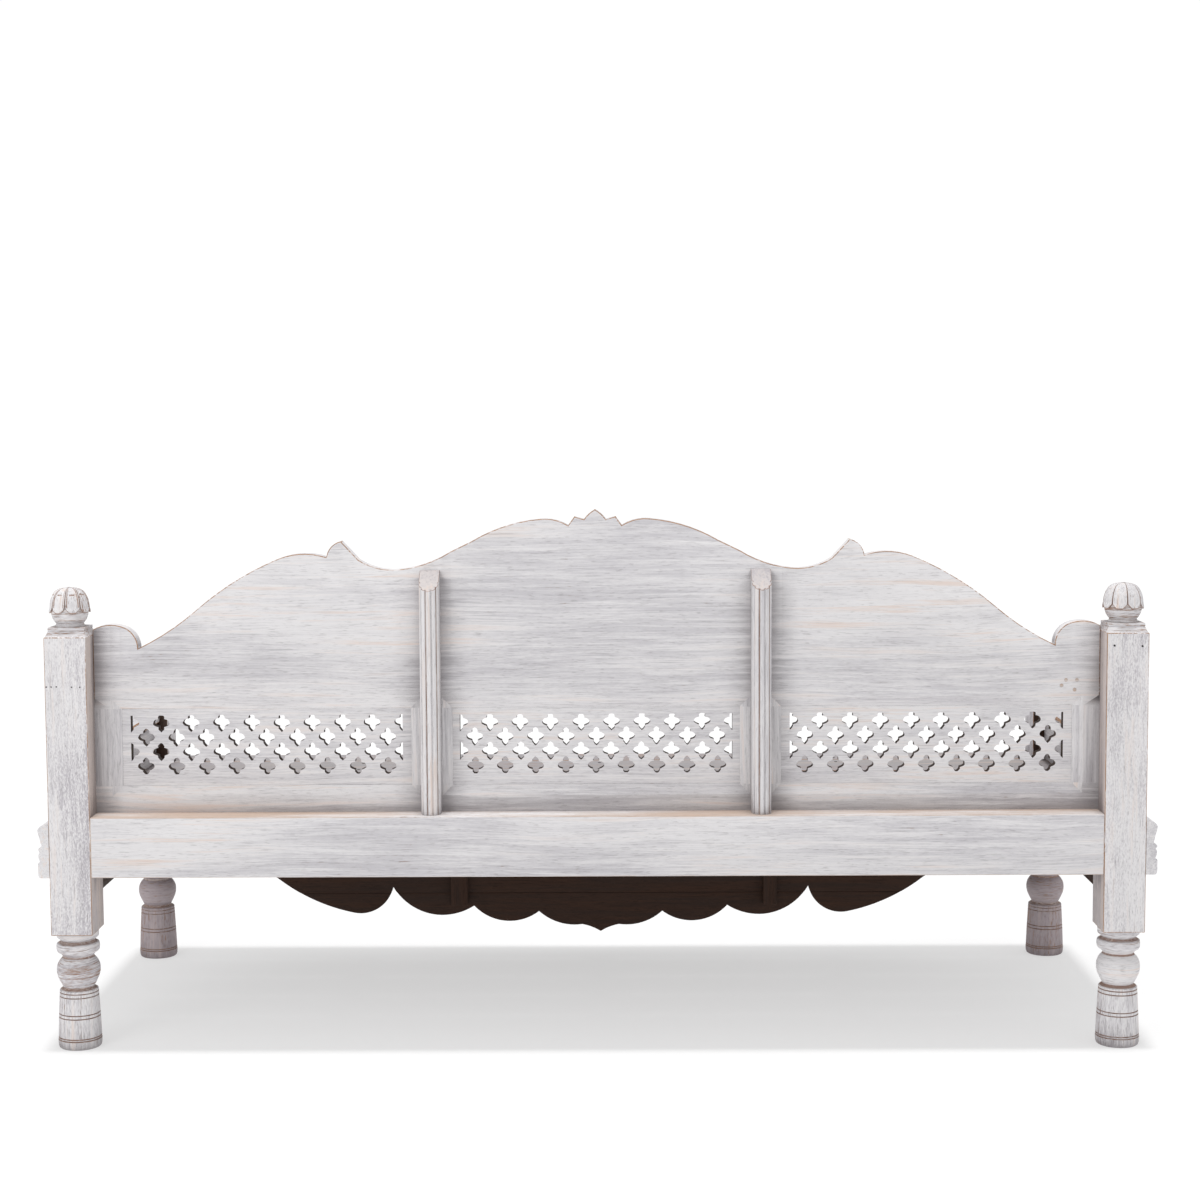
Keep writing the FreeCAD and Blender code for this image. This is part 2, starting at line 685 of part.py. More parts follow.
def lattice(label, middle, opening):
    body = new_body(label)
    bind(body, "Placement.Base.x", middle)
    x = grown(around(sized(0), opening), groove_play)
    pad(body, "board", "XZ_Plane", *lattice_y, [rectangle(x, grown(field_z, groove_play))])
    y = grown(lattice_y, overrun)
    for row in range(ROWS):
        full = COLUMNS - 1 if row % 2 == 0 else COLUMNS
        first = cell["hole_pitch_x"] * ((1 - full) / 2)
        height = row_middle + cell["hole_pitch_z"] * ((ROWS - 1) / 2 - row)
        trims = (height, row == 0, row == ROWS - 1)
        shifted = [(first + x_place, z_place) for x_place, z_place in hole_outline(*trims)]
        hole = pocket(body, f"row_{row + 1}_hole", "XZ_Plane", *y, [polygon(shifted)])
        line = body.newObject("PartDesign::LinearPattern", f"row_{row + 1}")
        line.Originals = [hole]
        line.Direction = (own_plane(body, "X_Axis"), [""])
        bind(line, "Length", cell["hole_pitch_x"] * (full - 1))
        line.Occurrences = full
        body.Tip = line
        if row % 2 == 0:
            half_field = cell["hole_pitch_x"] * (COLUMNS / 2)
            halves = [polygon([(half_field * side + x_place, z_place)
                               for x_place, z_place in hole_outline(*trims, -side)])
                      for side in (-1, 1)]
            pocket(body, f"row_{row + 1}_halves", "XZ_Plane", *y, halves)


mid_opening = mid_stile_x_pair[0] * 2
side_opening = end_stile_in - mid_stile_x_pair[1]
side_middle = (end_stile_in + mid_stile_x_pair[1]) / 2
lattice("left_lattice", -side_middle, side_opening)
lattice("middle_lattice", sized(0), mid_opening)
lattice("right_lattice", side_middle, side_opening)

# Upright battens with a round nose and a bevelled top.
for name, side in (("left", -1), ("right", 1)):
    body = new_body(f"{name}_batten")
    bind(body, "Placement.Base.x", mid_stile_x * side)
    half = cell["batten_width"] / 2
    shoulder = batten_nose - half
    section = ((-half, panel_rear), [((half, panel_rear),), ((half, shoulder),),
                                     ((0, batten_nose), (-half, shoulder)), ((-half, panel_rear),)])
    pad(body, "upright", "XY_Plane", ledge, cell["batten_top"], [section])
    nose_top = cell["batten_top"] - cell["batten_bevel"]
    fall = cell["batten_bevel"] * (1 / 4)
    beyond = batten_nose + cell["batten_depth"] / 4
    above = cell["batten_top"] + overrun
    bevel = ((panel_rear, cell["batten_top"]), [((beyond, nose_top - fall),), ((beyond, above),),
                                                ((panel_rear, above),),
                                                ((panel_rear, cell["batten_top"]),)])
    pocket(body, "bevel", "YZ_Plane", *grown((-half, half), overrun), [bevel])

# Front apron: one outline, sawn into an upper board and three pieces below the seam.
seam = cell["apron_seam"]
apron_low = rail_low - cell["apron_drop"]
apron_start = (0, apron_low)
apron_steps = [tuple((inner_x * x, rail_low - cell["apron_drop"] * y) for x, y in step)
               for step in APRON_SHARES]
apron_outline = both_sides(apron_start, apron_steps + [((inner_x, rail_low),)])
apron_y = (apron_front, apron_rear)
wide_y = grown(apron_y, overrun)
cusp_x = inner_x * APRON_SHARES[4][-1][0]
BEYOND_SHARE = 1.1


def apron_piece(label, waste):
    """The apron's outline less the blocks that belong to its other pieces."""
    body = new_body(label)
    pad(body, "board", "XZ_Plane", *apron_y, [apron_outline])
    for number, (x, z) in enumerate(waste):
        cut_box(body, f"waste_{number + 1}", x, wide_y, z)
    return body


beyond_x = inner_x * BEYOND_SHARE
below = (apron_low - overrun, seam)
above = (seam, rail_low + overrun)
all_x = (-beyond_x, beyond_x)
upper = apron_piece("front_apron_board", [(all_x, below)])
for name, side in (("left", -1), ("right", 1)):
    reach = on_side(side, inner_x, inner_x + cell["tongue_length"])
    add_box(upper, name + "_tongue", reach, around(apron_mid, cell["tongue_thick"]), apron_tongue_z)
key_mortises(upper, apron_keys, apron_mid, rail_low)
left_of, right_of = (-beyond_x, -cusp_x), (cusp_x, beyond_x)
apron_piece("apron_lower_centre", [(left_of, below), (right_of, below), (all_x, above)])
apron_piece("apron_lower_left", [((-cusp_x, beyond_x), below), (all_x, above)])
apron_piece("apron_lower_right", [((-beyond_x, cusp_x), below), (all_x, above)])

for name, side in (("left", -1), ("right", 1)):
    body = new_body(f"{name}_apron_cleat")
    middle = cell[f"{name}_cleat_place"] * side
    x = around(middle, cell[f"{name}_cleat_width"])
    pad(body, "strip", "XY_Plane", cell["cleat_low"], rail_low,
        [rectangle(x, (apron_rear, apron_rear + cell["cleat_thick"]))])

# End rails, end aprons and arms lie between the posts of one end.
for name, side in (("left", -1), ("right", 1)):
    body = new_body(f"{name}_end_rail")
    pad(body, "beam", "XZ_Plane", front_inner, back_inner,
        [rectangle(on_side(side, *end_rail_x), (rail_low, deck_low))])
    tenon_x = around(end_rail_mid * side, cell["tenon_thick"])
    add_box(body, "front_tenon", tenon_x, (front_inner - cell["short_tenon"], front_inner), end_tenon_z)
    add_box(body, "back_tenon", tenon_x, (back_inner, back_inner + cell["short_tenon"]), end_tenon_z)

    body = new_body(f"{name}_end_apron")
    middle_y = (front_inner + back_inner) / 2
    quarter_y = (back_inner - front_inner) / 4
    dip = end_apron_low - cell["end_apron_dip"]
    ease = end_apron_low - cell["end_apron_dip"] / 6
    outline = ((front_inner, rail_low),
               [((front_inner, end_apron_low),), ((middle_y - quarter_y, end_apron_low),),
                ((middle_y - quarter_y / 2, ease), (middle_y, dip)),
                ((middle_y + quarter_y / 2, ease), (middle_y + quarter_y, end_apron_low)),
                ((back_inner, end_apron_low),), ((back_inner, rail_low),), ((front_inner, rail_low),)])
    pad(body, "board", "YZ_Plane", *on_side(side, *end_apron_x), [outline])
    tongue_x = around(end_apron_mid * side, cell["tongue_thick"])
    add_box(body, "front_tongue", tongue_x, (front_inner - cell["tongue_length"], front_inner),
            end_apron_tongue_z)
    add_box(body, "back_tongue", tongue_x, (back_inner, back_inner + cell["tongue_length"]),
            end_apron_tongue_z)

    body = new_body(f"{name}_arm_panel")
    arm_z = (seat, arm_rail_low + groove_play)
    pad(body, "board", "XZ_Plane", front_inner, back_inner,
        [rectangle(around(arm_x * side, cell["arm_thick"]), arm_z)])
    tongue_x = around(arm_x * side, cell["tongue_thick"])
    tongue_z = (seat, arm_rail_low - cell["tenon_inset"])
    add_box(body, "front_tongue", tongue_x, (front_inner - cell["tongue_length"], front_inner), tongue_z)
    add_box(body, "back_tongue", tongue_x, (back_inner, back_inner + cell["tongue_length"]), tongue_z)

    body = new_body(f"{name}_arm_rail")
    low_x, high_x = around(arm_x * side, cell["arm_rail_width"])
    groove_x = grown(around(arm_x * side, cell["arm_thick"]), clearance)
    brow = arm_top - cell["arm_rail_height"] / 3
    section = ((low_x, arm_rail_low), [((high_x, arm_rail_low),), ((high_x, brow),),
                                       ((arm_x * side, arm_top), (low_x, brow)),
                                       ((low_x, arm_rail_low),)])
    pad(body, "rail", "XZ_Plane", front_inner, back_inner, [section])
    cut_box(body, "panel_groove", groove_x, grown((front_inner, back_inner), overrun),
            (arm_rail_low - overrun, arm_rail_low + cell["groove_depth"]))
    add_box(body, "front_tenon", tongue_x, (front_inner - cell["short_tenon"], front_inner), arm_tenon_z)
    add_box(body, "back_tenon", tongue_x, (back_inner, back_inner + cell["short_tenon"]), arm_tenon_z)

# Carved moulding round the front and both ends, mitred at the front corners.
moulding_front = front_face - cell["moulding_thick"]
moulding_outer = outer_x + cell["moulding_thick"]


def moulding_section(face, away):
    """The moulding's section: its flat back on a face, its carved side away from it."""
    steps = [tuple((face + cell["moulding_thick"] * (x * away), rail_low + cell["moulding_height"] * y)
                   for x, y in step) for step in MOULDING_SHARES]
    start = (face, rail_low)
    return start, steps + [(start,)]


body = new_body("front_moulding")
pad(body, "strip", "YZ_Plane", -moulding_outer, moulding_outer, [moulding_section(front_face, -1)])
for name, side in (("left", -1), ("right", 1)):
    tip = (moulding_outer + overrun) * side
    mitre = ((outer_x * side, front_face), [((tip, moulding_front - overrun),),
                                            ((tip, front_face),), ((outer_x * side, front_face),)])
    pocket(body, name + "_mitre", "XY_Plane", rail_low - overrun,
           rail_low + cell["moulding_height"] + overrun, [mitre])
for name, side in (("left", -1), ("right", 1)):
    body = new_body(f"{name}_end_moulding")
    pad(body, "strip", "XZ_Plane", moulding_front, rear_face, [moulding_section(outer_x * side, side)])
    tip = (moulding_outer + overrun) * side
    mitre = ((outer_x * side, front_face), [((outer_x * side, moulding_front - overrun),),
                                            ((tip, moulding_front - overrun),),
                                            ((outer_x * side, front_face),)])
    pocket(body, "mitre", "XY_Plane", rail_low - overrun,
           rail_low + cell["moulding_height"] + overrun, [mitre])

# Loose tenons, each kind a group of separate solids.
for label, places, y_mid, seam_z in (("panel_keys", panel_keys, panel_mid, ledge),
                                     ("apron_keys", apron_keys, apron_mid, rail_low)):
    body = new_body(label, len(places))
    pad(body, "keys", "XY_Plane", seam_z - key_half, seam_z + key_half,
        key_blocks(places, y_mid, sized(0)))

doc.recompute()

# Nothing is written unless every object is sound and every cut removed something.
faults = []
for item in doc.Objects:
    if {"Invalid", "Error"} & set(item.State):
        faults.append(f"{item.Name} {item.Label}: {item.State}")
for body in bodies:
    shape = body.Shape
    if shape.isNull() or not shape.isValid():
        faults.append(f"{body.Label}: no valid shape")
        continue
    if len(shape.Solids) != solids_wanted[body.Label]:
        faults.append(f"{body.Label}: {len(shape.Solids)} solids")
    for item in body.Group:
        cuts = item.TypeId in ("PartDesign::Pocket", "PartDesign::Groove", "PartDesign::SubtractiveBox")
        if cuts and not item.Shape.Volume < item.BaseFeature.Shape.Volume:
            faults.append(f"{body.Label}: {item.Name} cuts nothing")
if faults:
    raise RuntimeError("; ".join(faults))
for body in bodies:
    body.Shape.exportStep(f"parts/{body.Label}.step")
print(len(bodies), "sub-parts written")
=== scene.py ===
import math
import random

import bmesh
import bpy
from bpy.props import FloatProperty, FloatVectorProperty, IntProperty, PointerProperty
from mathutils import Matrix, Vector


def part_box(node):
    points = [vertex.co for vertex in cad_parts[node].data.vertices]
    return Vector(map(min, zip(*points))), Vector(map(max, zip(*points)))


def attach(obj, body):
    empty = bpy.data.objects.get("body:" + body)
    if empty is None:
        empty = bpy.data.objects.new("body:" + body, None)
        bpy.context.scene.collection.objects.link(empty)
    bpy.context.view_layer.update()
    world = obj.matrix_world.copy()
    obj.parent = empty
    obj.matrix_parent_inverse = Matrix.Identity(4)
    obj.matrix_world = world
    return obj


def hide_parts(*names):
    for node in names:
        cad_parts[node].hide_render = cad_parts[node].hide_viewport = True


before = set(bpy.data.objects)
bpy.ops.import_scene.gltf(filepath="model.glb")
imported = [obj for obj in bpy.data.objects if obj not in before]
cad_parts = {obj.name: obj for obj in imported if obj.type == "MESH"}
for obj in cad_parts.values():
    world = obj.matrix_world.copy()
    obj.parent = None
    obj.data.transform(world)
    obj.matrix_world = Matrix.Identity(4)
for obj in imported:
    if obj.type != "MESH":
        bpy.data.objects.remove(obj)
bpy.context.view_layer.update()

bl_info = {
    "name": "Whitewashed takht day bed",
    "version": (1, 0, 0),
    "blender": (4, 5, 0),
    "location": "View3D > Sidebar > Takht",
    "description": "Builds the looks of a carved and whitewashed day bed on its fixed frame",
    "category": "Object",
}

MM = 0.001
POSTS = ("left_back_post", "right_back_post", "left_front_post", "right_front_post")

# Middles of the posts, feet and buds, and the posts' rear and end faces.
POST_X, BACK_Y, FRONT_Y = 960 * MM, 354 * MM, -333 * MM
POST_REAR, POST_FRONT, POST_END = 399 * MM, -378 * MM, 998 * MM


# The studio, beside what a user would change.
SIDE_BOX_PLACE, SIDE_BOX_TARGET, SIDE_BOX_SIZE = (2.6, 3.6, 2.4), (0, 0, 0.6), (2, 2)
AIR_SEEN = 1.02


# Sizes and colours that a user would change.

def length(name, description, amount):
    """A size in metres, shown in the scene's own unit."""
    return FloatProperty(name=name, description=description, default=amount, min=0,
                         subtype="DISTANCE", unit="LENGTH", precision=4)


def colour(name, description, red, green, blue):
    """A colour given as the eye sees it, from 0 to 255."""
    return FloatVectorProperty(name=name, description=description, size=3, subtype="COLOR",
                               min=0, max=1, default=[to_light(v) for v in (red, green, blue)])


def share(name, description, amount):
    """A slider from 0 to 1."""
    return FloatProperty(name=name, description=description, default=amount, min=0, max=1,
                         subtype="FACTOR")


def to_light(level):
    """The light that a level from 0 to 255 stands for."""
    level /= 255
    return level / 12.92 if level <= 0.04045 else ((level + 0.055) / 1.055) ** 2.4


class TakhtStage(bpy.types.PropertyGroup):
    """Camera, floor and light."""
    camera_place: FloatVectorProperty(
        name="Camera place", description="Where the camera stands, behind the day bed",
        default=(-0.0449, 4.288494, 1.147969), subtype="TRANSLATION", unit="LENGTH")
    camera_turn: FloatVectorProperty(
        name="Camera turn", description="How the camera is turned",
        default=(1.488972, 0.005286, -3.132825), subtype="EULER", unit="ROTATION")
    lens: FloatProperty(name="Lens", description="Focal length on a 36 mm wide sensor",
                        default=65, min=1, unit="CAMERA")
    floor_size: length("Floor size", "Side of the square floor", 60)
    floor_colour: colour("Floor colour", "Pale studio floor", 178, 178, 178)
    floor_glow: share("Floor glow", "Light that the bright floor gives back by itself", 0.52)
    sky_light: FloatProperty(name="Sky light", description="Strength of the even studio light",
                             default=0.62, min=0)
    top_light: FloatProperty(name="Top light", description="Strength of the light overhead",
                             default=1.75, min=0)
    top_softness: FloatProperty(name="Top softness", description="How wide the light overhead looks",
                                default=math.radians(6), min=0, subtype="ANGLE", unit="ROTATION")
    side_light: FloatProperty(name="Side light", description="Power of the soft box at the side",
                              default=32, min=0, subtype="POWER", unit="POWER")


class TakhtFinish(bpy.types.PropertyGroup):
    """Colours and wear of the surfaces."""
    white: colour("Whitewash", "The whitest limewash", 232, 230, 231)
    grey: colour("Grey wash", "Streaks where the wash is thin", 174, 171, 178)
    warm: colour("Warm wash", "Streaks where the wood tints the wash", 222, 198, 183)
    pore: colour("Pores", "Brushed pores and grain lines", 108, 100, 102)
    wood: colour("Raw wood", "Wood that the wash no longer covers", 176, 136, 104)
    brown: colour("Brown wood", "Bare wood at the front's inner side", 63, 42, 31)
    # Walls of the piercing: bare sawn wood, made darker as painted shade inside the holes.
    dark: colour("Dark wood", "Sawn walls of the piercing", 88, 68, 58)
    # Deck grey is painted shade: whitewashed seat boards darkened for the shade the seat lies in.
    deck: colour("Deck grey", "Aged boards of the seat", 158, 154, 154)
    groove: colour("Groove brown", "Wood at the bottom of carved and turned grooves", 172, 144, 130)
    thin_wash: colour("Thin wash", "What is left of the wash in grooves", 192, 180, 176)
    ledge: colour("Ledge tan", "Bare top of the back rail", 190, 168, 152)
    violet: colour("Violet wash", "Thin wash on posts and turnings", 168, 162, 170)
    side: colour("Side wash", "Thin warm wash beside the back panel", 208, 196, 190)
    # The front feet's two colours are painted shade from the seat above them, over their wash.
    shade: colour("Shaded wash", "Lighter wash of the front feet", 176, 165, 168)
    deep_shade: colour("Deep shade", "Darker wash of the front feet", 138, 125, 130)
    end_grain: colour("End grain", "Washed ends of the battens", 208, 201, 199)
    iron: colour("Nail iron", "Nail heads of the seat", 50, 46, 46)
    wear: share("Wear", "How much of the wash is rubbed off", 0.2)
    edge_wear: share("Edge wear", "How much of the wash is rubbed off the arrises", 0.72)
    # How much corners and joints darken: real soiling and painted shade, from one occlusion mask.
    grime_and_shade: share("Grime", "Dirt in corners", 0.62)


class TakhtCarving(bpy.types.PropertyGroup):
    """Sizes of the small forms that the frame leaves plain."""
    arris: length("Arris", "Rounding of sawn edges", 1.6 * MM)
    turning_steps: IntProperty(name="Turning steps", description="Faces round a turned foot",
                               default=48, min=12)
    frame_bevel: length("Frame bevel", "Width of the slope round each pierced field", 19 * MM)
    frame_fall: length("Frame fall", "Depth of the slope round each pierced field", 6.6 * MM)
    reed_depth: length("Reed depth", "Depth of the batten's grooves", 2.4 * MM)
    batten_slope: length("Batten slope", "Height of the slanting cut on a batten's top", 36 * MM)
    wave_pitch: length("Wave pitch", "Between the moulding's carved leaves", 34 * MM)
    wave_depth: length("Wave depth", "Height of the moulding's carved leaves", 3.2 * MM)
    petal_hollow: length("Petal hollow", "Depth of a petal's middle", 1.5 * MM)


# Materials.

def new_group(name, inputs, outputs):
    """An empty node group with its sockets."""
    group = bpy.data.node_groups.new(name, "ShaderNodeTree")
    for label, kind, value in inputs:
        socket = group.interface.new_socket(name=label, in_out="INPUT", socket_type=kind)
        if value is not None:
            socket.default_value = value
    for label, kind in outputs:
        group.interface.new_socket(name=label, in_out="OUTPUT", socket_type=kind)
    return group, group.nodes.new("NodeGroupInput"), group.nodes.new("NodeGroupOutput")


class Wiring:
    """Adds nodes to one tree and links them."""

    def __init__(self, tree):
        self.tree = tree

    def put(self, target, value):
        if isinstance(value, bpy.types.NodeSocket):
            self.tree.links.new(value, target)
        elif value is not None:
            target.default_value = value

    def node(self, kind, **settings):
        made = self.tree.nodes.new(kind)
        for name, value in settings.items():
            setattr(made, name, value)
        return made

    def group(self, name):
        return self.node("ShaderNodeGroup", node_tree=bpy.data.node_groups[name])

    def math(self, operation, first, second=None, clamp=False):
        made = self.node("ShaderNodeMath", operation=operation, use_clamp=clamp)
        self.put(made.inputs[0], first)
        self.put(made.inputs[1], second)
        return made.outputs[0]

    def times(self, first, second, clamp=False):
        return self.math("MULTIPLY", first, second, clamp)

    def weighed(self, first, weight, second, other_weight):
        """The sum of two masks, each times its weight."""
        return self.math("ADD", self.times(first, weight), self.times(second, other_weight))

    def vector_math(self, operation, first, second):
        made = self.node("ShaderNodeVectorMath", operation=operation)
        self.put(made.inputs[0], first)
        self.put(made.inputs[1], second)
        return made.outputs[0]

    def noise(self, place, scale, detail=3, rough=0.55):
        """A noise whose pattern is stretched by a scale for each axis."""
        made = self.node("ShaderNodeTexNoise")
        self.put(made.inputs["Vector"], self.vector_math("MULTIPLY", place, scale))
        self.put(made.inputs["Scale"], 1.0)
        self.put(made.inputs["Detail"], detail)
        self.put(made.inputs["Roughness"], rough)
        return made.outputs["Fac"]

    def ramp(self, value, low, high, bottom=0.0, top=1.0):
        made = self.node("ShaderNodeMapRange", interpolation_type="SMOOTHSTEP")
        for name, amount in (("Value", value), ("From Min", low), ("From Max", high),
                             ("To Min", bottom), ("To Max", top)):
            self.put(made.inputs[name], amount)
        return made.outputs[0]

    def blend(self, share_of_second, first, second):
        made = self.node("ShaderNodeMix", data_type="RGBA")
        self.put(made.inputs["Factor"], share_of_second)
        self.put(made.inputs["A"], first)
        self.put(made.inputs["B"], second)
        return made.outputs["Result"]

    def grain_masks(self, enter):
        """The grain's masks, turned and squeezed as the group around them is told."""
        place = self.group("grain place")
        for label in ("Turn", "Squeeze"):
            if label in enter.outputs:
                self.put(place.inputs[label], enter.outputs[label])
        grain = self.group("wood grain")
        self.put(grain.inputs["Place"], place.outputs["Place"])
        return grain.outputs


def grain_place_group():
    """Object coordinates turned so that the grain runs along X, with each board shifted."""
    group, enter, leave = new_group("grain place", [("Turn", "NodeSocketVector", (0, 0, 0)),
                                                    ("Squeeze", "NodeSocketVector", (1, 1, 1))],
                                    [("Place", "NodeSocketVector")])
    wire = Wiring(group)
    spot = wire.node("ShaderNodeTexCoord").outputs["Object"]
    shift = wire.node("ShaderNodeAttribute", attribute_name="board_shift").outputs["Vector"]
    turned = wire.node("ShaderNodeMapping")
    wire.put(turned.inputs["Vector"], wire.vector_math("ADD", spot, shift))
    wire.put(turned.inputs["Rotation"], enter.outputs["Turn"])
    bend = wire.node("ShaderNodeTexNoise")
    wire.put(bend.inputs["Vector"], wire.vector_math("MULTIPLY", turned.outputs[0], (2.2, 5, 5)))
    wire.put(bend.inputs["Scale"], 1.0)
    wire.put(bend.inputs["Detail"], 1.5)
    centred = wire.vector_math("SUBTRACT", bend.outputs["Color"], (0.5, 0.5, 0.5))
    sway = wire.vector_math("MULTIPLY", centred, (0, 0.03, 0.03))
    place = wire.vector_math("ADD", turned.outputs[0], sway)
    wire.put(leave.inputs["Place"], wire.vector_math("MULTIPLY", place, enter.outputs["Squeeze"]))


def grain_group():
    """Masks of wood grain: broad streaks, fine lines, pores and patches."""
    group, enter, leave = new_group(
        "wood grain", [("Place", "NodeSocketVector", (0, 0, 0))],
        [("Streaks", "NodeSocketFloat"), ("Lines", "NodeSocketFloat"),
         ("Pores", "NodeSocketFloat"), ("Patches", "NodeSocketFloat"),
         ("Speckle", "NodeSocketFloat")])
    wire = Wiring(group)
    place = enter.outputs["Place"]
    wire.put(leave.inputs["Streaks"], wire.noise(place, (3.2, 90, 90), 5, 0.64))
    wire.put(leave.inputs["Lines"], wire.noise(place, (10, 380, 380), 3, 0.65))
    wire.put(leave.inputs["Pores"], wire.noise(place, (55, 620, 620), 2, 0.5))
    wire.put(leave.inputs["Patches"], wire.noise(place, (1.9, 8, 8), 3, 0.55))
    wire.put(leave.inputs["Speckle"], wire.noise(place, (90, 420, 420), 2, 0.6))


def shade_and_grime_group():
    """A mask from ambient occlusion, strong in corners and beside joints, for both soiling and painted
    shade.
    """
    group, enter, leave = new_group(
        "corner grime", [("Reach", "NodeSocketFloat", 0.055), ("Breakup", "NodeSocketFloat", 0.5)],
        [("Mask", "NodeSocketFloat")])
    wire = Wiring(group)
    near = wire.node("ShaderNodeAmbientOcclusion", samples=4)
    wire.put(near.inputs["Distance"], enter.outputs["Reach"])
    closed = wire.math("SUBTRACT", 1.0, near.outputs["AO"], clamp=True)
    broken = wire.times(closed, wire.ramp(enter.outputs["Breakup"], 0.3, 0.7, 0.55, 1.25))
    wire.put(leave.inputs["Mask"], wire.ramp(broken, 0.05, 0.54))


def whitewash_group():
    """Worn limewash over brown wood: colour, roughness and height."""
    group, enter, leave = new_group(
        "worn whitewash",
        [("Turn", "NodeSocketVector", (0, 0, 0)), ("Squeeze", "NodeSocketVector", (1, 1, 1)),
         ("White", "NodeSocketColor", None), ("Grey", "NodeSocketColor", None),
         ("Warm", "NodeSocketColor", None), ("Pore", "NodeSocketColor", None),
         ("Wood", "NodeSocketColor", None),
         ("Wear", "NodeSocketFloat", 0.3), ("Greyness", "NodeSocketFloat", 0.5),
         ("Warmth", "NodeSocketFloat", 0.5), ("Depth", "NodeSocketFloat", 0.5),
         ("Fleck", "NodeSocketFloat", 0.2), ("Grime", "NodeSocketFloat", 0.5)],
        [("Color", "NodeSocketColor"), ("Roughness", "NodeSocketFloat"),
         ("Height", "NodeSocketFloat")])
    wire = Wiring(group)
    told = enter.outputs
    grain = wire.grain_masks(enter)
    streaks, lines, pores = grain["Streaks"], grain["Lines"], grain["Pores"]
    patches, speckle = grain["Patches"], grain["Speckle"]

    # Thin grey streaks, then warm ones where the wood tints the wash.
    fine = wire.weighed(streaks, 0.55, lines, 0.45)
    flecked = wire.times(wire.math("SUBTRACT", speckle, 0.5), told["Fleck"])
    fine = wire.weighed(wire.math("ADD", fine, flecked), 0.72, patches, 0.28)
    grey = wire.times(wire.ramp(fine, 0.39, 0.62), wire.ramp(patches, 0.32, 0.66, 0.35, 1.35))
    now = wire.blend(wire.times(grey, told["Greyness"], True), told["White"], told["Grey"])
    warm = wire.times(wire.ramp(streaks, 0.5, 0.3), wire.ramp(patches, 0.6, 0.38))
    now = wire.blend(wire.times(warm, told["Warmth"], True), now, told["Warm"])

    # Open pores and grain lines.
    pore = wire.times(wire.ramp(pores, 0.56, 0.7), wire.ramp(streaks, 0.3, 0.6, 0.3, 1))
    marks = wire.math("MAXIMUM", wire.ramp(lines, 0.56, 0.78), pore)
    now = wire.blend(wire.times(marks, told["Depth"], True), now, told["Pore"])

    # Bare wood where the wash is rubbed off.
    rubbed = wire.weighed(speckle, 0.35, lines, 0.65)
    rubbed = wire.math("ADD", rubbed, wire.times(wire.math("SUBTRACT", patches, 0.5), 0.5))
    limit = wire.math("SUBTRACT", 0.86, wire.times(told["Wear"], 0.62))
    bare = wire.ramp(wire.math("SUBTRACT", rubbed, limit), -0.04, 0.08)
    wood = wire.blend(wire.ramp(lines, 0.4, 0.7, 0, 0.5), told["Wood"], told["Pore"])
    now = wire.blend(bare, now, wood)

    # Corners and joints darken towards the pore colour: soiling, and painted shade beside posts and
    # battens.
    grime_and_shade = wire.group("corner grime")
    wire.put(grime_and_shade.inputs["Breakup"], streaks)
    dirt_and_shade = wire.times(grime_and_shade.outputs["Mask"], told["Grime"], True)
    height = wire.math("SUBTRACT", wire.times(streaks, 0.5), wire.times(marks, 0.55))
    wire.put(leave.inputs["Color"], wire.blend(dirt_and_shade, now, told["Pore"]))
    wire.put(leave.inputs["Roughness"], wire.ramp(rubbed, 0.3, 0.8, 0.78, 0.62))
    wire.put(leave.inputs["Height"], wire.math("SUBTRACT", height, wire.times(bare, 0.35)))


def bare_wood_group():
    """Wood without wash: colour, roughness and height."""
    group, enter, leave = new_group(
        "bare wood",
        [("Turn", "NodeSocketVector", (0, 0, 0)), ("Wood", "NodeSocketColor", None),
         ("Pore", "NodeSocketColor", None), ("Contrast", "NodeSocketFloat", 0.5)],
        [("Color", "NodeSocketColor"), ("Roughness", "NodeSocketFloat"),
         ("Height", "NodeSocketFloat")])
    wire = Wiring(group)
    told = enter.outputs
    grain = wire.grain_masks(enter)
    streaks = grain["Streaks"]
    dark = wire.times(wire.ramp(streaks, 0.35, 0.7), told["Contrast"])
    now = wire.blend(dark, told["Wood"], told["Pore"])
    marks = wire.math("MAXIMUM", wire.ramp(grain["Lines"], 0.5, 0.72),
                      wire.ramp(grain["Pores"], 0.56, 0.7))
    height = wire.math("SUBTRACT", wire.times(streaks, 0.5), wire.times(marks, 0.5))
    wire.put(leave.inputs["Color"],
             wire.blend(wire.times(marks, told["Contrast"], True), now, told["Pore"]))
    wire.put(leave.inputs["Roughness"], wire.ramp(streaks, 0.3, 0.7, 0.78, 0.6))
    wire.put(leave.inputs["Height"], height)


# How Object coordinates are turned so that the grain runs along an axis.
TURNS = {"x": (0, 0, 0), "y": (0, 0, -math.pi / 2), "z": (0, math.pi / 2, 0)}


BUMP, BUMP_HEIGHT, SHINE, PORE_LEVEL = 0.5, 0.8 * MM, 0.25, 0.35


def finished_material(name, group_name, values):
    """A material made of one finish group and its values."""
    material = bpy.data.materials.new(name)
    material.use_nodes = True
    wire = Wiring(material.node_tree)
    shader = material.node_tree.nodes["Principled BSDF"]
    looks = wire.group(group_name)
    for label, value in values.items():
        wire.put(looks.inputs[label], value)
    raised = wire.node("ShaderNodeBump")
    wire.put(raised.inputs["Strength"], BUMP)
    wire.put(raised.inputs["Distance"], BUMP_HEIGHT)
    wire.put(raised.inputs["Height"], looks.outputs["Height"])
    wire.put(shader.inputs["Base Color"], looks.outputs["Color"])
    wire.put(shader.inputs["Roughness"], looks.outputs["Roughness"])
    wire.put(shader.inputs["Normal"], raised.outputs["Normal"])
    shader.inputs["Specular IOR Level"].default_value = SHINE


def rgba(values):
    """A colour with full alpha."""
    return (*values, 1)


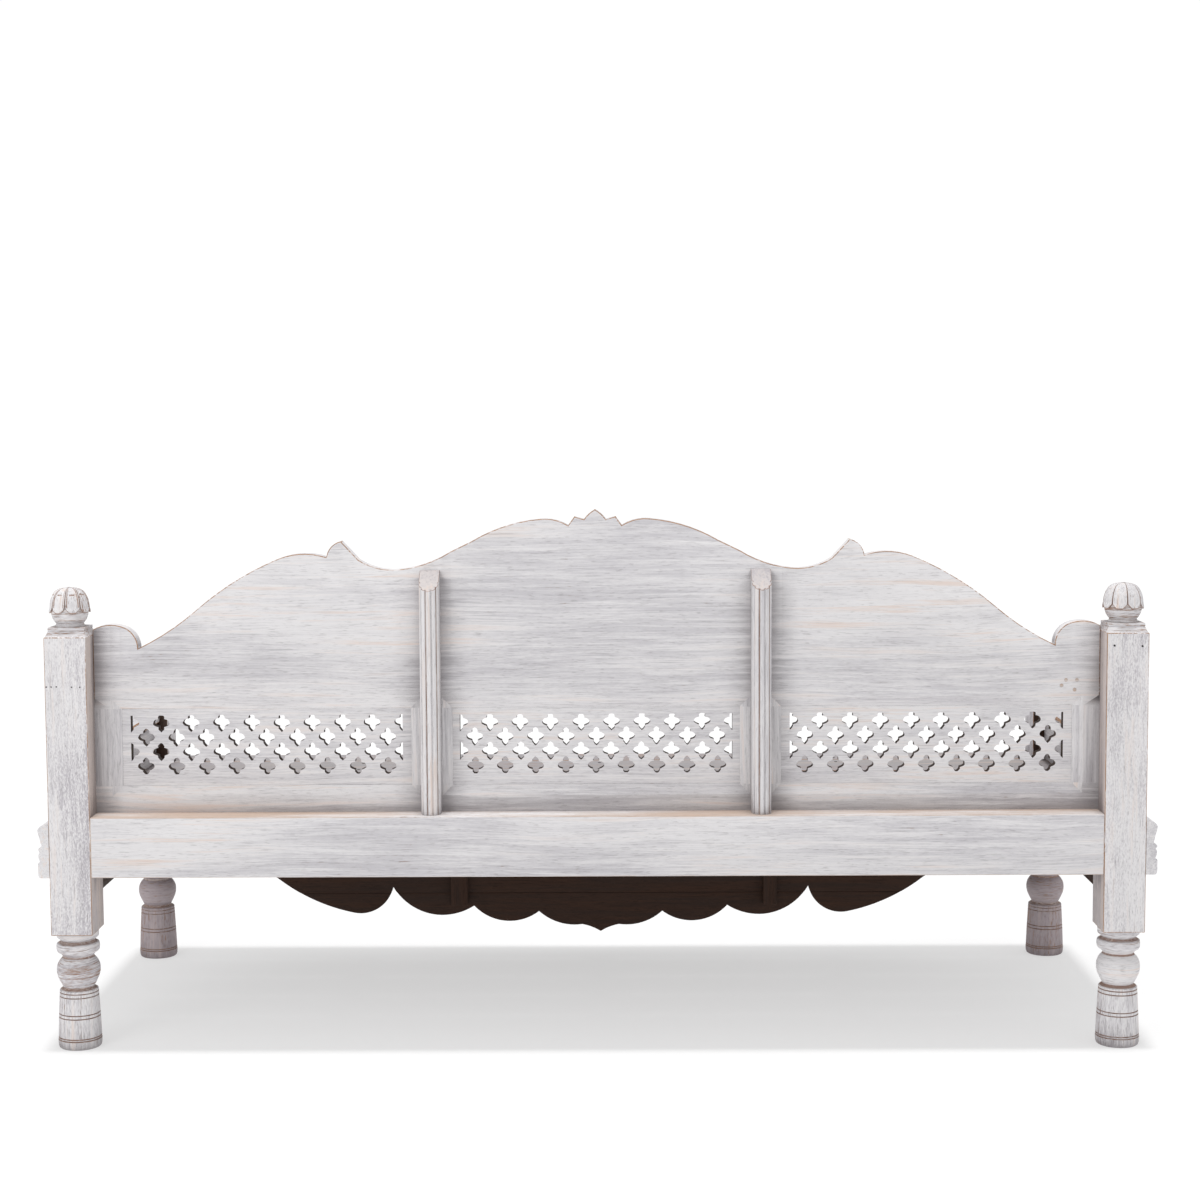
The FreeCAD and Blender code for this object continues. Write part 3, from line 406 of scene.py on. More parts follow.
def whitewash(name, grain, **changes):
    """A washed surface with its grain along one axis; changes name the group's inputs."""
    finish = bpy.context.scene.takht_finish
    values = {"Turn": TURNS[grain], "Wear": finish.wear, "Greyness": 0.43, "Warmth": 0.6,
              "Depth": 0.28, "Fleck": 0.15, "Grime": finish.grime_and_shade}
    for label in ("White", "Grey", "Warm", "Pore", "Wood"):
        values[label] = rgba(getattr(finish, label.lower()))
    values.update(changes)
    finished_material(name, "worn whitewash", values)


def bare_wood(name, grain, wood, contrast=0.6):
    """An unwashed surface, with pores darker than its wood."""
    pore = [v * PORE_LEVEL for v in wood]
    values = {"Turn": TURNS[grain], "Wood": rgba(wood), "Pore": rgba(pore), "Contrast": contrast}
    finished_material(name, "bare wood", values)


def make_materials():
    """Every finish, named for its surface and, where it comes more than once, its grain."""
    finish = bpy.context.scene.takht_finish
    for grain in TURNS:
        whitewash(f"whitewash_{grain}", grain)
        whitewash(f"rubbed_arris_{grain}", grain, Wear=finish.edge_wear, Warmth=1.0, Grime=0.2)
        bare_wood(f"brown_wood_{grain}", grain, finish.brown)
    for grain in ("x", "z"):
        whitewash(f"carved_groove_{grain}", grain, Wear=0.7, White=rgba(finish.thin_wash),
                  Greyness=0.3, Wood=rgba(finish.groove), Grime=0.2)
    # The seat's white is the deck grey, which is painted shade; its wear is real.
    whitewash("deck_boards_painted_shade_x", "x", Wear=0.4, White=rgba(finish.deck))
    whitewash("post_wash", "z", Squeeze=(2.1, 1.25, 1.25), Grey=rgba(finish.violet), Greyness=0.55,
              Depth=0.4, Fleck=0.8, Warmth=0.3, Grime=0.3)
    whitewash("warm_side", "z", White=rgba(finish.side), Greyness=0.5, Depth=0.4, Fleck=0.5,
              Warmth=0.3)
    whitewash("worn_turning", "z", Wear=0.42, Grey=rgba(finish.violet), Greyness=0.75, Warmth=0.5,
              Depth=0.5, Fleck=0.6)
    whitewash("lathe_turning", "x", Squeeze=(1, 0.06, 1.5), Wear=0.42, Grey=rgba(finish.violet),
              Greyness=0.6, Depth=0.5, Fleck=0.5, Grime=0.35)
    # The bowls' greyer wash is partly painted shade under the petals, partly wear.
    whitewash("worn_bowl_and_painted_shade", "x", Squeeze=(1, 0.06, 1.5), Wear=0.56, Grey=rgba(finish.violet),
              Greyness=0.7, Depth=0.5, Fleck=0.5, Grime=0.3)
    # Copies of the turnings darkened as painted shade for the front feet, with a little more wear.
    whitewash("shaded_turning", "z", White=rgba(finish.shade), Grey=rgba(finish.deep_shade),
              Wear=0.46, Warmth=0.25, Depth=0.6, Fleck=0.6)
    whitewash("shaded_lathe", "x", Squeeze=(1, 0.06, 1.5), White=rgba(finish.shade),
              Grey=rgba(finish.deep_shade), Wear=0.46, Warmth=0.25, Depth=0.6, Fleck=0.5)
    whitewash("worn_carving", "z", Wear=0.4, Greyness=0.4, Warmth=0.9, Depth=0.45, Fleck=0.6,
              Grime=0.3)
    whitewash("worn_collar", "x", Wear=0.44, Greyness=0.4, Warmth=0.9, Grime=0.15)
    whitewash("bare_ledge", "x", Wear=0.3, White=rgba(finish.ledge), Grey=rgba(finish.white),
              Greyness=0.75, Warmth=0.3, Grime=0.12)
    whitewash("cut_end", "z", Squeeze=(3, 0.5, 0.5), Greyness=0.6, White=rgba(finish.end_grain))
    bare_wood("sawn_wall_and_shade", "x", finish.dark, 0.4)
    bare_wood("nail_iron", "z", finish.iron, 0.3)


# Mesh work.
VERT, EDGE, FACE = bmesh.types.BMVert, bmesh.types.BMEdge, bmesh.types.BMFace


def only(kind, parts):
    """The vertices, edges or faces among a result's parts."""
    return [part for part in parts if isinstance(part, kind)]


def faces_of(verts):
    """The faces round some vertices, each once and in a fixed order."""
    return list(dict.fromkeys(face for vert in verts for face in vert.link_faces))


def working_copy(node):
    """A merged copy of a CAD node's mesh, with flat facets joined."""
    bm = bmesh.new()
    bm.from_mesh(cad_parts[node].data)
    bmesh.ops.remove_doubles(bm, verts=bm.verts[:], dist=0.02 * MM)
    bmesh.ops.dissolve_limit(bm, angle_limit=math.radians(0.6), verts=bm.verts[:], edges=bm.edges[:])
    return bm


def shift_boards(bm, seed):
    """Gives each loose part of the mesh its own cut of the grain."""
    layer = bm.verts.layers.float_vector.new("board_shift")
    chance = random.Random(seed)
    seen = set()
    for start in bm.verts:
        if start in seen:
            continue
        shift = Vector([chance.uniform(-3, 3) for _ in range(3)])
        waiting = [start]
        seen.add(start)
        while waiting:
            vert = waiting.pop()
            vert[layer] = shift
            for edge in vert.link_edges:
                other = edge.other_vert(vert)
                if other not in seen:
                    seen.add(other)
                    waiting.append(other)


ARRIS_FOLD, CRISP_FOLD = math.radians(28), math.radians(16)


def mark_arrises(bm, from_height=0):
    """Weighs outer corners above a height for the bevel and keeps the other folds crisp."""
    layer = bm.edges.layers.float.new("bevel_weight_edge")
    for edge in bm.edges:
        if not edge.is_manifold:
            continue
        fold = edge.calc_face_angle()
        open_to_view = min(vert.co.z for vert in edge.verts) >= from_height
        if fold > ARRIS_FOLD and edge.is_convex and open_to_view:
            edge[layer] = 1
        elif fold > CRISP_FOLD:
            edge.smooth = False
    for face in bm.faces:
        face.smooth = True


def new_piece(bm, name, nodes, materials, seed=0):
    """Makes an object of a mesh, which rides the frame and stands for its nodes."""
    if seed:
        shift_boards(bm, seed)
    mesh = bpy.data.meshes.new(name)
    bm.to_mesh(mesh)
    bm.free()
    piece = bpy.data.objects.new(name, mesh)
    bpy.context.scene.collection.objects.link(piece)
    for material in materials:
        mesh.materials.append(bpy.data.materials[material])
    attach(piece, "root")
    if nodes:
        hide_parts(*nodes)
    return piece


def soften(piece, width, segments=2):
    """Rounds the weighed corners and gives them the rubbed finish."""
    bevel = piece.modifiers.new("arrises", "BEVEL")
    bevel.limit_method = "WEIGHT"
    bevel.width = width
    bevel.segments = segments
    bevel.material = 1
    bevel.harden_normals = True
    return piece


def dressed(node, grain, seed, name=None, slot="whitewash", arris=None, surface=None, change=None,
            worn=None, bare=None, from_height=0):
    """One sawn piece: a copy of its node with rubbed arrises and grain."""
    bm = working_copy(node)
    if change:
        change(bm)
    mark_arrises(bm, from_height)
    width = arris or bpy.context.scene.takht_carving.arris
    materials = [surface or f"whitewash_{grain}", worn or f"rubbed_arris_{grain}"]
    if bare:
        materials.append(bare)
    return soften(new_piece(bm, name or node + "_dressed", [node], materials, seed), width)


def dress_each(nodes, grain, first_seed, **options):
    """Dresses like pieces, each with its own cut of the grain."""
    for seed, node in enumerate(nodes, first_seed):
        dressed(node, grain, seed, **options)


def leave_bare(bm, is_bare):
    """Gives the third finish to the faces that a test of facing and middle picks."""
    for face in bm.faces:
        if is_bare(face.normal, face.calc_center_median()):
            face.material_index = 2


def turn_profile(bm, profile, centre, steps):
    """Spins a profile of radius and height, in millimetres, about an upright line."""
    x, y = centre
    verts = [bm.verts.new((x + r * MM, y, z * MM)) for r, z in profile]
    edges = [bm.edges.new(pair) for pair in zip(verts, verts[1:])]
    bmesh.ops.spin(bm, geom=verts + edges, cent=(x, y, 0), axis=(0, 0, 1), dvec=(0, 0, 0),
                   angle=math.tau, steps=steps, use_merge=True, use_duplicate=False)


def close_up(bm, dist=0.01 * MM):
    """Welds what touches and turns all faces outward."""
    bmesh.ops.remove_doubles(bm, verts=bm.verts[:], dist=dist)
    bmesh.ops.recalc_face_normals(bm, faces=bm.faces[:])


def crisp(bm, angle):
    """Smooths the faces and keeps the folds above an angle in degrees."""
    for face in bm.faces:
        face.smooth = True
    for edge in bm.edges:
        if edge.is_manifold and edge.calc_face_angle() > math.radians(angle):
            edge.smooth = False


def sweep(bm, section, way, cuts=0):
    """Draws a closed section of points, makes it a solid along a way, and cuts it across."""
    verts = [bm.verts.new(point) for point in section]
    face = bm.faces.new(verts)
    grown = bmesh.ops.extrude_face_region(bm, geom=[face])
    moved = only(VERT, grown["geom"])
    bmesh.ops.translate(bm, verts=moved, vec=way)
    if cuts:
        lengthwise = [edge for edge in bm.edges
                      if (edge.verts[0] in moved) != (edge.verts[1] in moved)]
        bmesh.ops.subdivide_edges(bm, edges=lengthwise, cuts=cuts, use_grid_fill=True)
    bmesh.ops.recalc_face_normals(bm, faces=bm.faces[:])


def saw(bm, place, normal):
    """Cuts off what lies beyond a plane and closes the cut."""
    cut = bmesh.ops.bisect_plane(bm, geom=bm.verts[:] + bm.edges[:] + bm.faces[:], dist=1e-7,
                                 plane_co=place, plane_no=normal, clear_outer=True)
    bmesh.ops.holes_fill(bm, edges=only(EDGE, cut["geom_cut"]), sides=0)


# Turned feet.
FOOT_PROFILE = (
    (0, 217), (37.2, 217), (38, 216.2), (38, 207.4), (37, 206), (34.2, 203.8), (31.6, 201.2),
    (30.8, 198.8), (31.6, 197.2), (35.6, 196.4), (38.2, 195), (39.2, 191.6), (39.3, 187),
    (38.8, 182.4), (37, 179.2), (33.6, 177.2), (30.6, 174.6), (28.6, 172), (28, 169.8),
    (29.6, 168.2), (33.8, 163.8), (37, 158.4), (39, 152.8), (39.6, 147), (39.3, 140),
    (37.4, 132.4), (34.2, 125), (31, 118.6), (28.7, 114.4), (28, 112.2), (29.4, 110.6),
    (33.2, 109.6), (35, 108), (35.3, 105.2), (33.9, 104.1), (35.4, 103), (35.7, 98.1), (34.3, 97),
    (35.8, 95.9), (37.4, 65.6), (35.9, 64.5), (37.5, 63.4), (37.8, 59.1), (36.3, 58), (37.9, 56.9),
    (39.2, 21.6), (37.7, 20.4), (39.3, 19.2), (39.4, 17.7), (37.8, 16.5), (39.7, 15.3),
    (39.8, 11), (39.3, 5), (38, 1.4), (36.2, 0), (0, 0))

# Middle and half height of each turned groove, and the parts that show lathe rings.
FOOT_GROOVES = ((104.1, 1.1), (97, 1.1), (64.5, 1.1), (58, 1.1), (20.4, 1.2), (16.5, 1.2),
                (112.4, 2.4), (170, 2.6), (199, 2.8), (209, 0.7))
FOOT_RINGS = ((114.8, 167.4), (172.6, 196.2), (201.8, 217))


def build_feet(axis_y, node, seed, turned, rings):
    """A pair of feet; the two finishes are for what is turned and for lathe rings."""
    bm = bmesh.new()
    steps = bpy.context.scene.takht_carving.turning_steps
    for x in (-POST_X, POST_X):
        turn_profile(bm, FOOT_PROFILE, (x, axis_y), steps)
    close_up(bm)
    crisp(bm, 38)
    for face in bm.faces:
        up = face.calc_center_median().z / MM
        if any(abs(up - middle) < half for middle, half in FOOT_GROOVES):
            face.material_index = 2
        elif any(low < up < high for low, high in FOOT_RINGS):
            face.material_index = 1
    new_piece(bm, node + "_turned", [node], [turned, rings, "carved_groove_x"],
              seed)


# Lotus buds, in millimetres of radius and of height above the collar.
BOWL_PROFILE = ((0, 0), (26.6, 0), (26.8, 1.4), (25.6, 3.4), (24.6, 5), (24.8, 6), (27.4, 9), (30, 13),
                (31.9, 17.6), (33.2, 22.4), (33.4, 26), (33, 33), (31, 48), (25, 60), (14, 66.5),
                (0, 68))
CAP_PROFILE = ((24.7, 35.6), (31.5, 36.1), (39, 35.8), (46.8, 34.8), (52.5, 33.2), (57, 31.1),
               (61.6, 28.6), (66, 24.6), (69.6, 18), (71.2, 5))


def cap_at(height_share):
    """Height and radius of the petals' dome, from their lower ends to the tip."""
    place = height_share * (len(CAP_PROFILE) - 1)
    number = min(int(place), len(CAP_PROFILE) - 2)
    return Vector(CAP_PROFILE[number]).lerp(Vector(CAP_PROFILE[number + 1]), place - number)


# Shares of a petal's half width and of its length where its border and its hollow begin.
PETAL_ACROSS = (-1, -0.95, -0.84, -0.72, -0.42, 0, 0.42, 0.72, 0.84, 0.95, 1)
PETAL_UP = (0, 0.03, 0.07, 0.12, 0.2, 0.3, 0.4, 0.48, 0.56, 0.59, 0.62, 0.68, 0.76, 0.84, 0.92, 1)
PETAL_NOTCH = 0.59
PETALS, BOWL_STEPS = 8, 40

# The walls under a petal's rim shrink towards the bud's middle.
BUD_MIDDLE, WALL_SHRINK = 30, (0.85, 0.85, 0.9)


def petal(bm, centre, base, angle, angular):
    """One bordered petal: a grid bent onto the dome, with its middle hollowed."""
    hollow = bpy.context.scene.takht_carving.petal_hollow / MM
    columns, rows = len(PETAL_ACROSS) - 1, len(PETAL_UP) - 1
    grid = bmesh.ops.create_grid(bm, x_segments=columns, y_segments=rows, size=1)
    half_turn = math.pi / PETALS
    shares = {}
    for vert in grid["verts"]:
        across = PETAL_ACROSS[round((vert.co.x + 1) / 2 * columns)]
        up = PETAL_UP[round((vert.co.y + 1) / 2 * rows)]
        shares[vert] = (across, up)
        foot = (1 - up) ** 5
        lift = 0.26 * max(0, abs(across) - 0.42) if angular else 0.2 * abs(across) ** 3
        height, radius = cap_at(min(1, up + lift * foot))
        turn = angle + across * half_turn * (0.97 - 0.04 * foot)
        radius += 1.6 * (1 - across * across) - 1.2 * up
        if abs(across) < 0.73 and 0.1 < up < 0.95:
            radius -= hollow
            if up == PETAL_NOTCH and abs(across) < 0.5 and not angular:
                radius -= hollow / 2
        vert.co = (centre[0] + radius * MM * math.cos(turn),
                   centre[1] + radius * MM * math.sin(turn), base + height * MM)
    faces = faces_of(grid["verts"])
    for face in faces:
        across, up = [sum(shares[vert][axis] for vert in face.verts) / 4 for axis in (0, 1)]
        at_rim = abs(across) > 0.95 or up < 0.03
        at_border = 0.72 < abs(across) < 0.84 and up > 0.12
        at_notch = abs(up - PETAL_NOTCH) < 0.02 and abs(across) < 0.42
        if at_rim or not angular and (at_border or at_notch):
            face.material_index = 1
    rim = [edge for face in faces for edge in face.edges if edge.is_boundary]
    walls = bmesh.ops.extrude_edge_only(bm, edges=list(dict.fromkeys(rim)))["geom"]
    for face in only(FACE, walls):
        face.material_index = 1
    middle = Vector((*centre, base + BUD_MIDDLE * MM))
    bmesh.ops.scale(bm, verts=only(VERT, walls), vec=WALL_SHRINK,
                    space=Matrix.Translation(-middle))


def build_finials(axis_y, post, node, name, seed):
    """A pair of buds: angular petals at one end, rounded and bordered ones at the other."""
    base = round(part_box(post)[1].z / MM) * MM
    bm = bmesh.new()
    ends = ((-POST_X, True), (POST_X, False))
    for x, _ in ends:
        turn_profile(bm, [(r, z + base / MM) for r, z in BOWL_PROFILE], (x, axis_y), BOWL_STEPS)
    # The bowls take the third finish, greyed partly as painted shade under the petals.
    for face in bm.faces:
        face.material_index = 2
    for x, angular in ends:
        for number in range(PETALS):
            turn = math.tau / PETALS * (number + 0.5)
            petal(bm, (x, axis_y), base, turn, angular)
    close_up(bm, 0.005 * MM)
    crisp(bm, 38)
    new_piece(bm, name, [node], ["worn_carving", "carved_groove_x", "worn_bowl_and_painted_shade"],
              seed)


# Pierced boards: one side of a hole, its sizes in millimetres, and the middle of the rows.
HOLE_HALF = ((0, 1), (0.15, 0.93), (0.3, 0.8), (0.37, 0.63), (0.35, 0.46), (0.5, 0.43),
             (0.74, 0.36), (0.92, 0.2), (1, 0), (0.93, -0.16), (0.74, -0.29), (0.5, -0.37),
             (0.37, -0.42), (0.38, -0.58), (0.3, -0.72), (0.14, -0.88), (0, -1))
HOLE_WIDTH, HOLE_HEIGHT, HOLE_STEP, HOLE_ROW, HOLE_TRIM = 15.5, 17, 55.7, 27, 2.6
HOLE_ROWS, ROWS_MIDDLE, HOLE_WOBBLE = 4, 559.5, 0.55


def ring(bm, points, y):
    """A closed ring of edges in an upright plane."""
    verts = [bm.verts.new((x, y, z)) for x, z in points]
    return [bm.edges.new(pair) for pair in zip(verts, verts[1:] + verts[:1])]


def hole_points(x, z, row, side, chance):
    """One quatrefoil cut by hand, or half of one at the end of a row."""
    half = [(HOLE_WIDTH * a, HOLE_HEIGHT * b) for a, b in HOLE_HALF]
    if row == 0:
        half = [(a, min(b, HOLE_HEIGHT - HOLE_TRIM)) for a, b in half]
    if row == HOLE_ROWS - 1:
        half = [(a, max(b, HOLE_TRIM - HOLE_HEIGHT)) for a, b in half]
    half = [(a + (chance.uniform(-HOLE_WOBBLE, HOLE_WOBBLE) if a > 1 else 0),
             b + chance.uniform(-HOLE_WOBBLE, HOLE_WOBBLE) / 2) for a, b in half]
    if side:
        whole = [(a * side, b) for a, b in half]
    else:
        whole = half + [(-a, b) for a, b in half[-2:0:-1]]
    shift_x, shift_z = chance.uniform(-0.8, 0.8), chance.uniform(-0.6, 0.6)
    if side:
        shift_x = 0
    return [(x + (a + shift_x) * MM, z + (b + shift_z) * MM) for a, b in whole]


def build_lattice(node, seed):
    """A board with staggered rows of holes, and half holes where a row meets the frame."""
    low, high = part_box(node)
    middle = (low.x + high.x) / 2
    chance = random.Random(seed)
    bm = bmesh.new()
    ring(bm, ((low.x, low.z), (high.x, low.z), (high.x, high.z), (low.x, high.z)), high.y)
    for row in range(HOLE_ROWS):
        count = 8 if row % 2 == 0 else 9
        z = (ROWS_MIDDLE + HOLE_ROW * ((HOLE_ROWS - 1) / 2 - row)) * MM
        for number in range(count):
            x = middle + (number - (count - 1) / 2) * HOLE_STEP * MM
            ring(bm, hole_points(x, z, row, 0, chance), high.y)
        if row % 2 == 0:
            for side in (-1, 1):
                x = middle - side * 4.5 * HOLE_STEP * MM
                ring(bm, hole_points(x, z, row, side, chance), high.y)
    filled = bmesh.ops.triangle_fill(bm, use_beauty=True, use_dissolve=False, edges=bm.edges[:],
                                     normal=(0, 1, 0))
    grown = bmesh.ops.extrude_face_region(bm, geom=only(FACE, filled["geom"]))
    bmesh.ops.translate(bm, verts=only(VERT, grown["geom"]), vec=(0, low.y - high.y, 0))
    bmesh.ops.recalc_face_normals(bm, faces=bm.faces[:])
    # Walls of the holes take the dark wood, which is partly painted shade.
    for face in bm.faces:
        if abs(face.normal.y) < 0.5:
            face.material_index = 1
    new_piece(bm, node + "_pierced", [node], ["whitewash_x", "sawn_wall_and_shade"], seed)


# Sloping frame round the pierced fields.
FIELDS = ((-873, -340), (-264, 264), (340, 873))
FIELD_LOW, FIELD_HIGH, PANEL_REAR = 484 * MM, 627 * MM, 344 * MM
CLOSE = 1e-5


def near_frame(bm, low_x, high_x, reach):
    """Faces of the rear side that the frame of one field touches, with their edges."""
    faces = [face for face in bm.faces if face.normal.y > 0.9
             and max(v.co.x for v in face.verts) > low_x - reach - CLOSE
             and min(v.co.x for v in face.verts) < high_x + reach + CLOSE]
    edges = dict.fromkeys(edge for face in faces for edge in face.edges)
    verts = dict.fromkeys(vert for face in faces for vert in face.verts)
    return [*verts, *edges, *faces]


def slope_frame(bm):
    """Cuts the rear face along each field's frame and lets the inner rim fall back."""
    carving = bpy.context.scene.takht_carving
    wide, fall = carving.frame_bevel, carving.frame_fall
    for low_x, high_x in FIELDS:
        low_x, high_x = low_x * MM, high_x * MM
        planes = [((x, 0, 0), (1, 0, 0)) for x in (low_x - wide, low_x, high_x, high_x + wide)]
        planes += [((0, 0, z), (0, 0, 1))
                   for z in (FIELD_LOW - wide, FIELD_LOW, FIELD_HIGH, FIELD_HIGH + wide)]
        for place, normal in planes:
            bmesh.ops.bisect_plane(bm, geom=near_frame(bm, low_x, high_x, wide), dist=1e-6,
                                   plane_co=place, plane_no=normal)
        for x, side in ((low_x, -1), (high_x, 1)):
            for z, up in ((FIELD_LOW, -1), (FIELD_HIGH, 1)):
                bmesh.ops.bisect_plane(bm, geom=near_frame(bm, x, x, wide), dist=1e-6,
                                       plane_co=(x, 0, z), plane_no=(1, 0, -side * up))
        for face in bm.faces:
            middle = face.calc_center_median()
            beside = max(low_x - middle.x, middle.x - high_x)
            above = max(FIELD_LOW - middle.z, middle.z - FIELD_HIGH)
            if face.normal.y > 0.5 and 0 < above < beside < wide:
                face.material_index = 2
        for vert in bm.verts:
            at_rear = abs(vert.co.y - PANEL_REAR) <= CLOSE
            inside_x = low_x - CLOSE <= vert.co.x <= high_x + CLOSE
            inside_z = FIELD_LOW - CLOSE <= vert.co.z <= FIELD_HIGH + CLOSE
            if at_rear and inside_x and inside_z:
                vert.co.y -= fall


# Reeded battens. The wash is worn out of the grooves between these angles.
REEDS, REED_SHARPNESS, REED_STEPS = 5, 8, 90
WORN_REEDS, GROOVE_BOTTOM = ((1.1, 1.45), (2.35, 2.7)), 0.955
BATTEN_NECK, BATTEN_ARRIS = 3 * MM, 1.3 * MM


def build_batten(node, seed):
    """A batten with a round, grooved back and a slanting top."""
    carving = bpy.context.scene.takht_carving
    low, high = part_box(node)
    x = (low.x + high.x) / 2
    half = (high.x - low.x) / 2
    shoulder = high.y - half
    section = [(x + half, low.y, low.z), (x + half, shoulder - BATTEN_NECK, low.z)]
    for step in range(REED_STEPS + 1):
        turn = math.pi * step / REED_STEPS
        reach = half - carving.reed_depth * abs(math.cos(REEDS * turn)) ** REED_SHARPNESS
        section.append((x + reach * math.cos(turn), shoulder + reach * math.sin(turn), low.z))
    section += [(x - half, shoulder - BATTEN_NECK, low.z), (x - half, low.y, low.z)]
    bm = bmesh.new()
    sweep(bm, section, (0, 0, high.z - low.z))
    saw(bm, (x, low.y, high.z), (0, carving.batten_slope, high.y - low.y))
    crisp(bm, 24)
    layer = bm.edges.layers.float.new("bevel_weight_edge")
    half_way = (low.z + high.z) / 2
    for edge in bm.edges:
        at_top = min(vert.co.z for vert in edge.verts) > half_way
        if edge.is_manifold and at_top and edge.calc_face_angle() > ARRIS_FOLD:
            edge[layer] = 1
    for face in bm.faces:
        middle = face.calc_center_median()
        turn = math.atan2(middle.y - shoulder, middle.x - x)
        in_groove = abs(math.cos(REEDS * turn)) > GROOVE_BOTTOM
        worn = any(first < turn < last for first, last in WORN_REEDS)
        if face.normal.z > 0.1:
            face.material_index = 2
        elif abs(face.normal.z) < 0.1 and worn and in_groove:
            face.material_index = 1
    piece = new_piece(bm, node + "_reeded", [node],
                      ["whitewash_z", "carved_groove_z", "cut_end"], seed)
    soften(piece, BATTEN_ARRIS, segments=1)


# Carved mouldings: how far each point stands out and up, in millimetres.
MOULDING_PROFILE = ((0, 96), (14.6, 96), (17, 94), (20.4, 88.4), (18.6, 80), (16, 71.6), (14.6, 64),
                    (13, 59), (15.4, 56.4), (19.4, 51.8), (16, 47), (18.8, 42), (18.2, 36),
                    (16.4, 30.6), (18, 28), (20.4, 27.4), (20.5, 8), (19.6, 3), (18, 0.8), (16.4, 0),
                    (0, 0))
MOULDING_FOOT = 324
FRONT_CUTS, END_CUTS = 300, 118

# The band of leaves, what it is cut out of, and how far a leaf moves up and down.
BAND_LOW, BAND_HIGH, BAND_DEPTH, LEAF_RISE = 28, 62, 5 * MM, 4 * MM


def carve_waves(bm, along, out, sign, face):
    """Carves a row of leaves into the band between the hollow and the fillet."""
    carving = bpy.context.scene.takht_carving
    for vert in bm.verts:
        up = vert.co.z / MM - MOULDING_FOOT
        if BAND_LOW < up < BAND_HIGH and abs(vert.co[out] - face) > BAND_DEPTH:
            band = math.sin(math.pi * (up - BAND_LOW) / (BAND_HIGH - BAND_LOW))
            wave = abs(math.sin(math.pi * vert.co[along] / carving.wave_pitch))
            vert.co[out] += sign * carving.wave_depth * band * (wave - 0.5)
            vert.co.z += LEAF_RISE * band * (wave - 0.6)


def build_moulding(node, axis, sign, seed):
    """A carved moulding along the front or an end, mitred where it turns the corner."""
    low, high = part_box(node)
    bm = bmesh.new()
    profile = [(sign * out * MM, (MOULDING_FOOT + up) * MM) for out, up in MOULDING_PROFILE]
    if axis == "x":
        face = high.y
        section = [(low.x, face + away, z) for away, z in profile]
        sweep(bm, section, (high.x - low.x, 0, 0), FRONT_CUTS)
        carve_waves(bm, 0, 1, sign, face)
        for side in (-1, 1):
            saw(bm, (POST_END * side, face, 0), (side, 1, 0))
    else:
        face = POST_END * sign
        section = [(face + away, low.y, z) for away, z in profile]
        sweep(bm, section, (0, high.y - low.y, 0), END_CUTS)
        carve_waves(bm, 1, 0, sign, face)
        saw(bm, (face, POST_FRONT, 0), (-sign, -1, 0))
    bmesh.ops.recalc_face_normals(bm, faces=bm.faces[:])
    crisp(bm, 40)
    new_piece(bm, node + "_carved", [node], [f"whitewash_{axis}"], seed)


# Collars, trimmed posts, nails and small marks.
NAIL_SIDES, NAIL_RISE, NAIL_RIM, NAIL_DISH = 12, 0.4 * MM, 0.3, 0.25 * MM


def nail(bm, place, normal, radius, finish=0):
    """A flat nail head with a low rim, facing along a normal."""
    turn = Vector(normal).to_track_quat("Z", "Y").to_matrix().to_4x4()
    head = bmesh.ops.create_circle(bm, cap_ends=True, segments=NAIL_SIDES, radius=radius,
                                   matrix=Matrix.Translation(place) @ turn)
    faces = faces_of(head["verts"])
    for face in faces:
        face.material_index = finish
    grown = bmesh.ops.extrude_face_region(bm, geom=faces)
    verts = only(VERT, grown["geom"])
    bmesh.ops.translate(bm, verts=verts, vec=Vector(normal) * NAIL_RISE)
    bmesh.ops.inset_region(bm, faces=only(FACE, grown["geom"]), thickness=radius * NAIL_RIM,
                           depth=-NAIL_DISH)


# Half width and height of the collar's steps, in millimetres.
COLLAR_PROFILE = ((36.8, 1.6), (35.8, 3.6), (34.6, 6), (33.7, 8.6), (33.3, 10), (32.4, 10.4),
                  (32.4, 11.2), (32.9, 11.7), (33, 12.6), (33, 16.2), (32.4, 17))
COLLAR_HALF, COLLAR_HEIGHT, CROWN_DROP, POST_ARRIS = 37.4, 17 * MM, 13.5 * MM, 2 * MM


def build_collars():
    """Moulded square collars between the posts and the buds."""
    bm = bmesh.new()
    for node in POSTS:
        low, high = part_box(node)
        centre = (low + high) / 2
        base = high.z - COLLAR_HEIGHT
        sheet = bmesh.ops.create_grid(bm, x_segments=1, y_segments=1, size=1)["verts"]
        bmesh.ops.scale(bm, verts=sheet, vec=(COLLAR_HALF * MM, COLLAR_HALF * MM, 1))
        bmesh.ops.translate(bm, verts=sheet, vec=(centre.x, centre.y, base))
        faces = faces_of(sheet)
        previous = COLLAR_HALF
        for half, up in COLLAR_PROFILE:
            edges = [edge for face in faces for edge in face.edges]
            grown = bmesh.ops.extrude_face_region(bm, geom=faces + edges)
            faces, verts = only(FACE, grown["geom"]), only(VERT, grown["geom"])
            rise = base + up * MM - verts[0].co.z
            bmesh.ops.translate(bm, verts=verts, vec=(0, 0, rise))
            grow = half / previous
            bmesh.ops.scale(bm, verts=verts, vec=(grow, grow, 1),
                            space=Matrix.Translation((-centre.x, -centre.y, 0)))
            previous = half
    close_up(bm)
    crisp(bm, 34)
    new_piece(bm, "post_collars", [], ["worn_collar"], 61)


def trim_post_top(bm):
    """Takes the plain collar off a post, down to its arched crown."""
    top = max(vert.co.z for vert in bm.verts)
    saw(bm, (0, 0, top - CROWN_DROP), (0, 0, 1))


def trim_front_post(bm):
    """Also leaves bare the side that looks at the seat."""
    trim_post_top(bm)
    leave_bare(bm, lambda facing, middle: facing.y > 0.9)


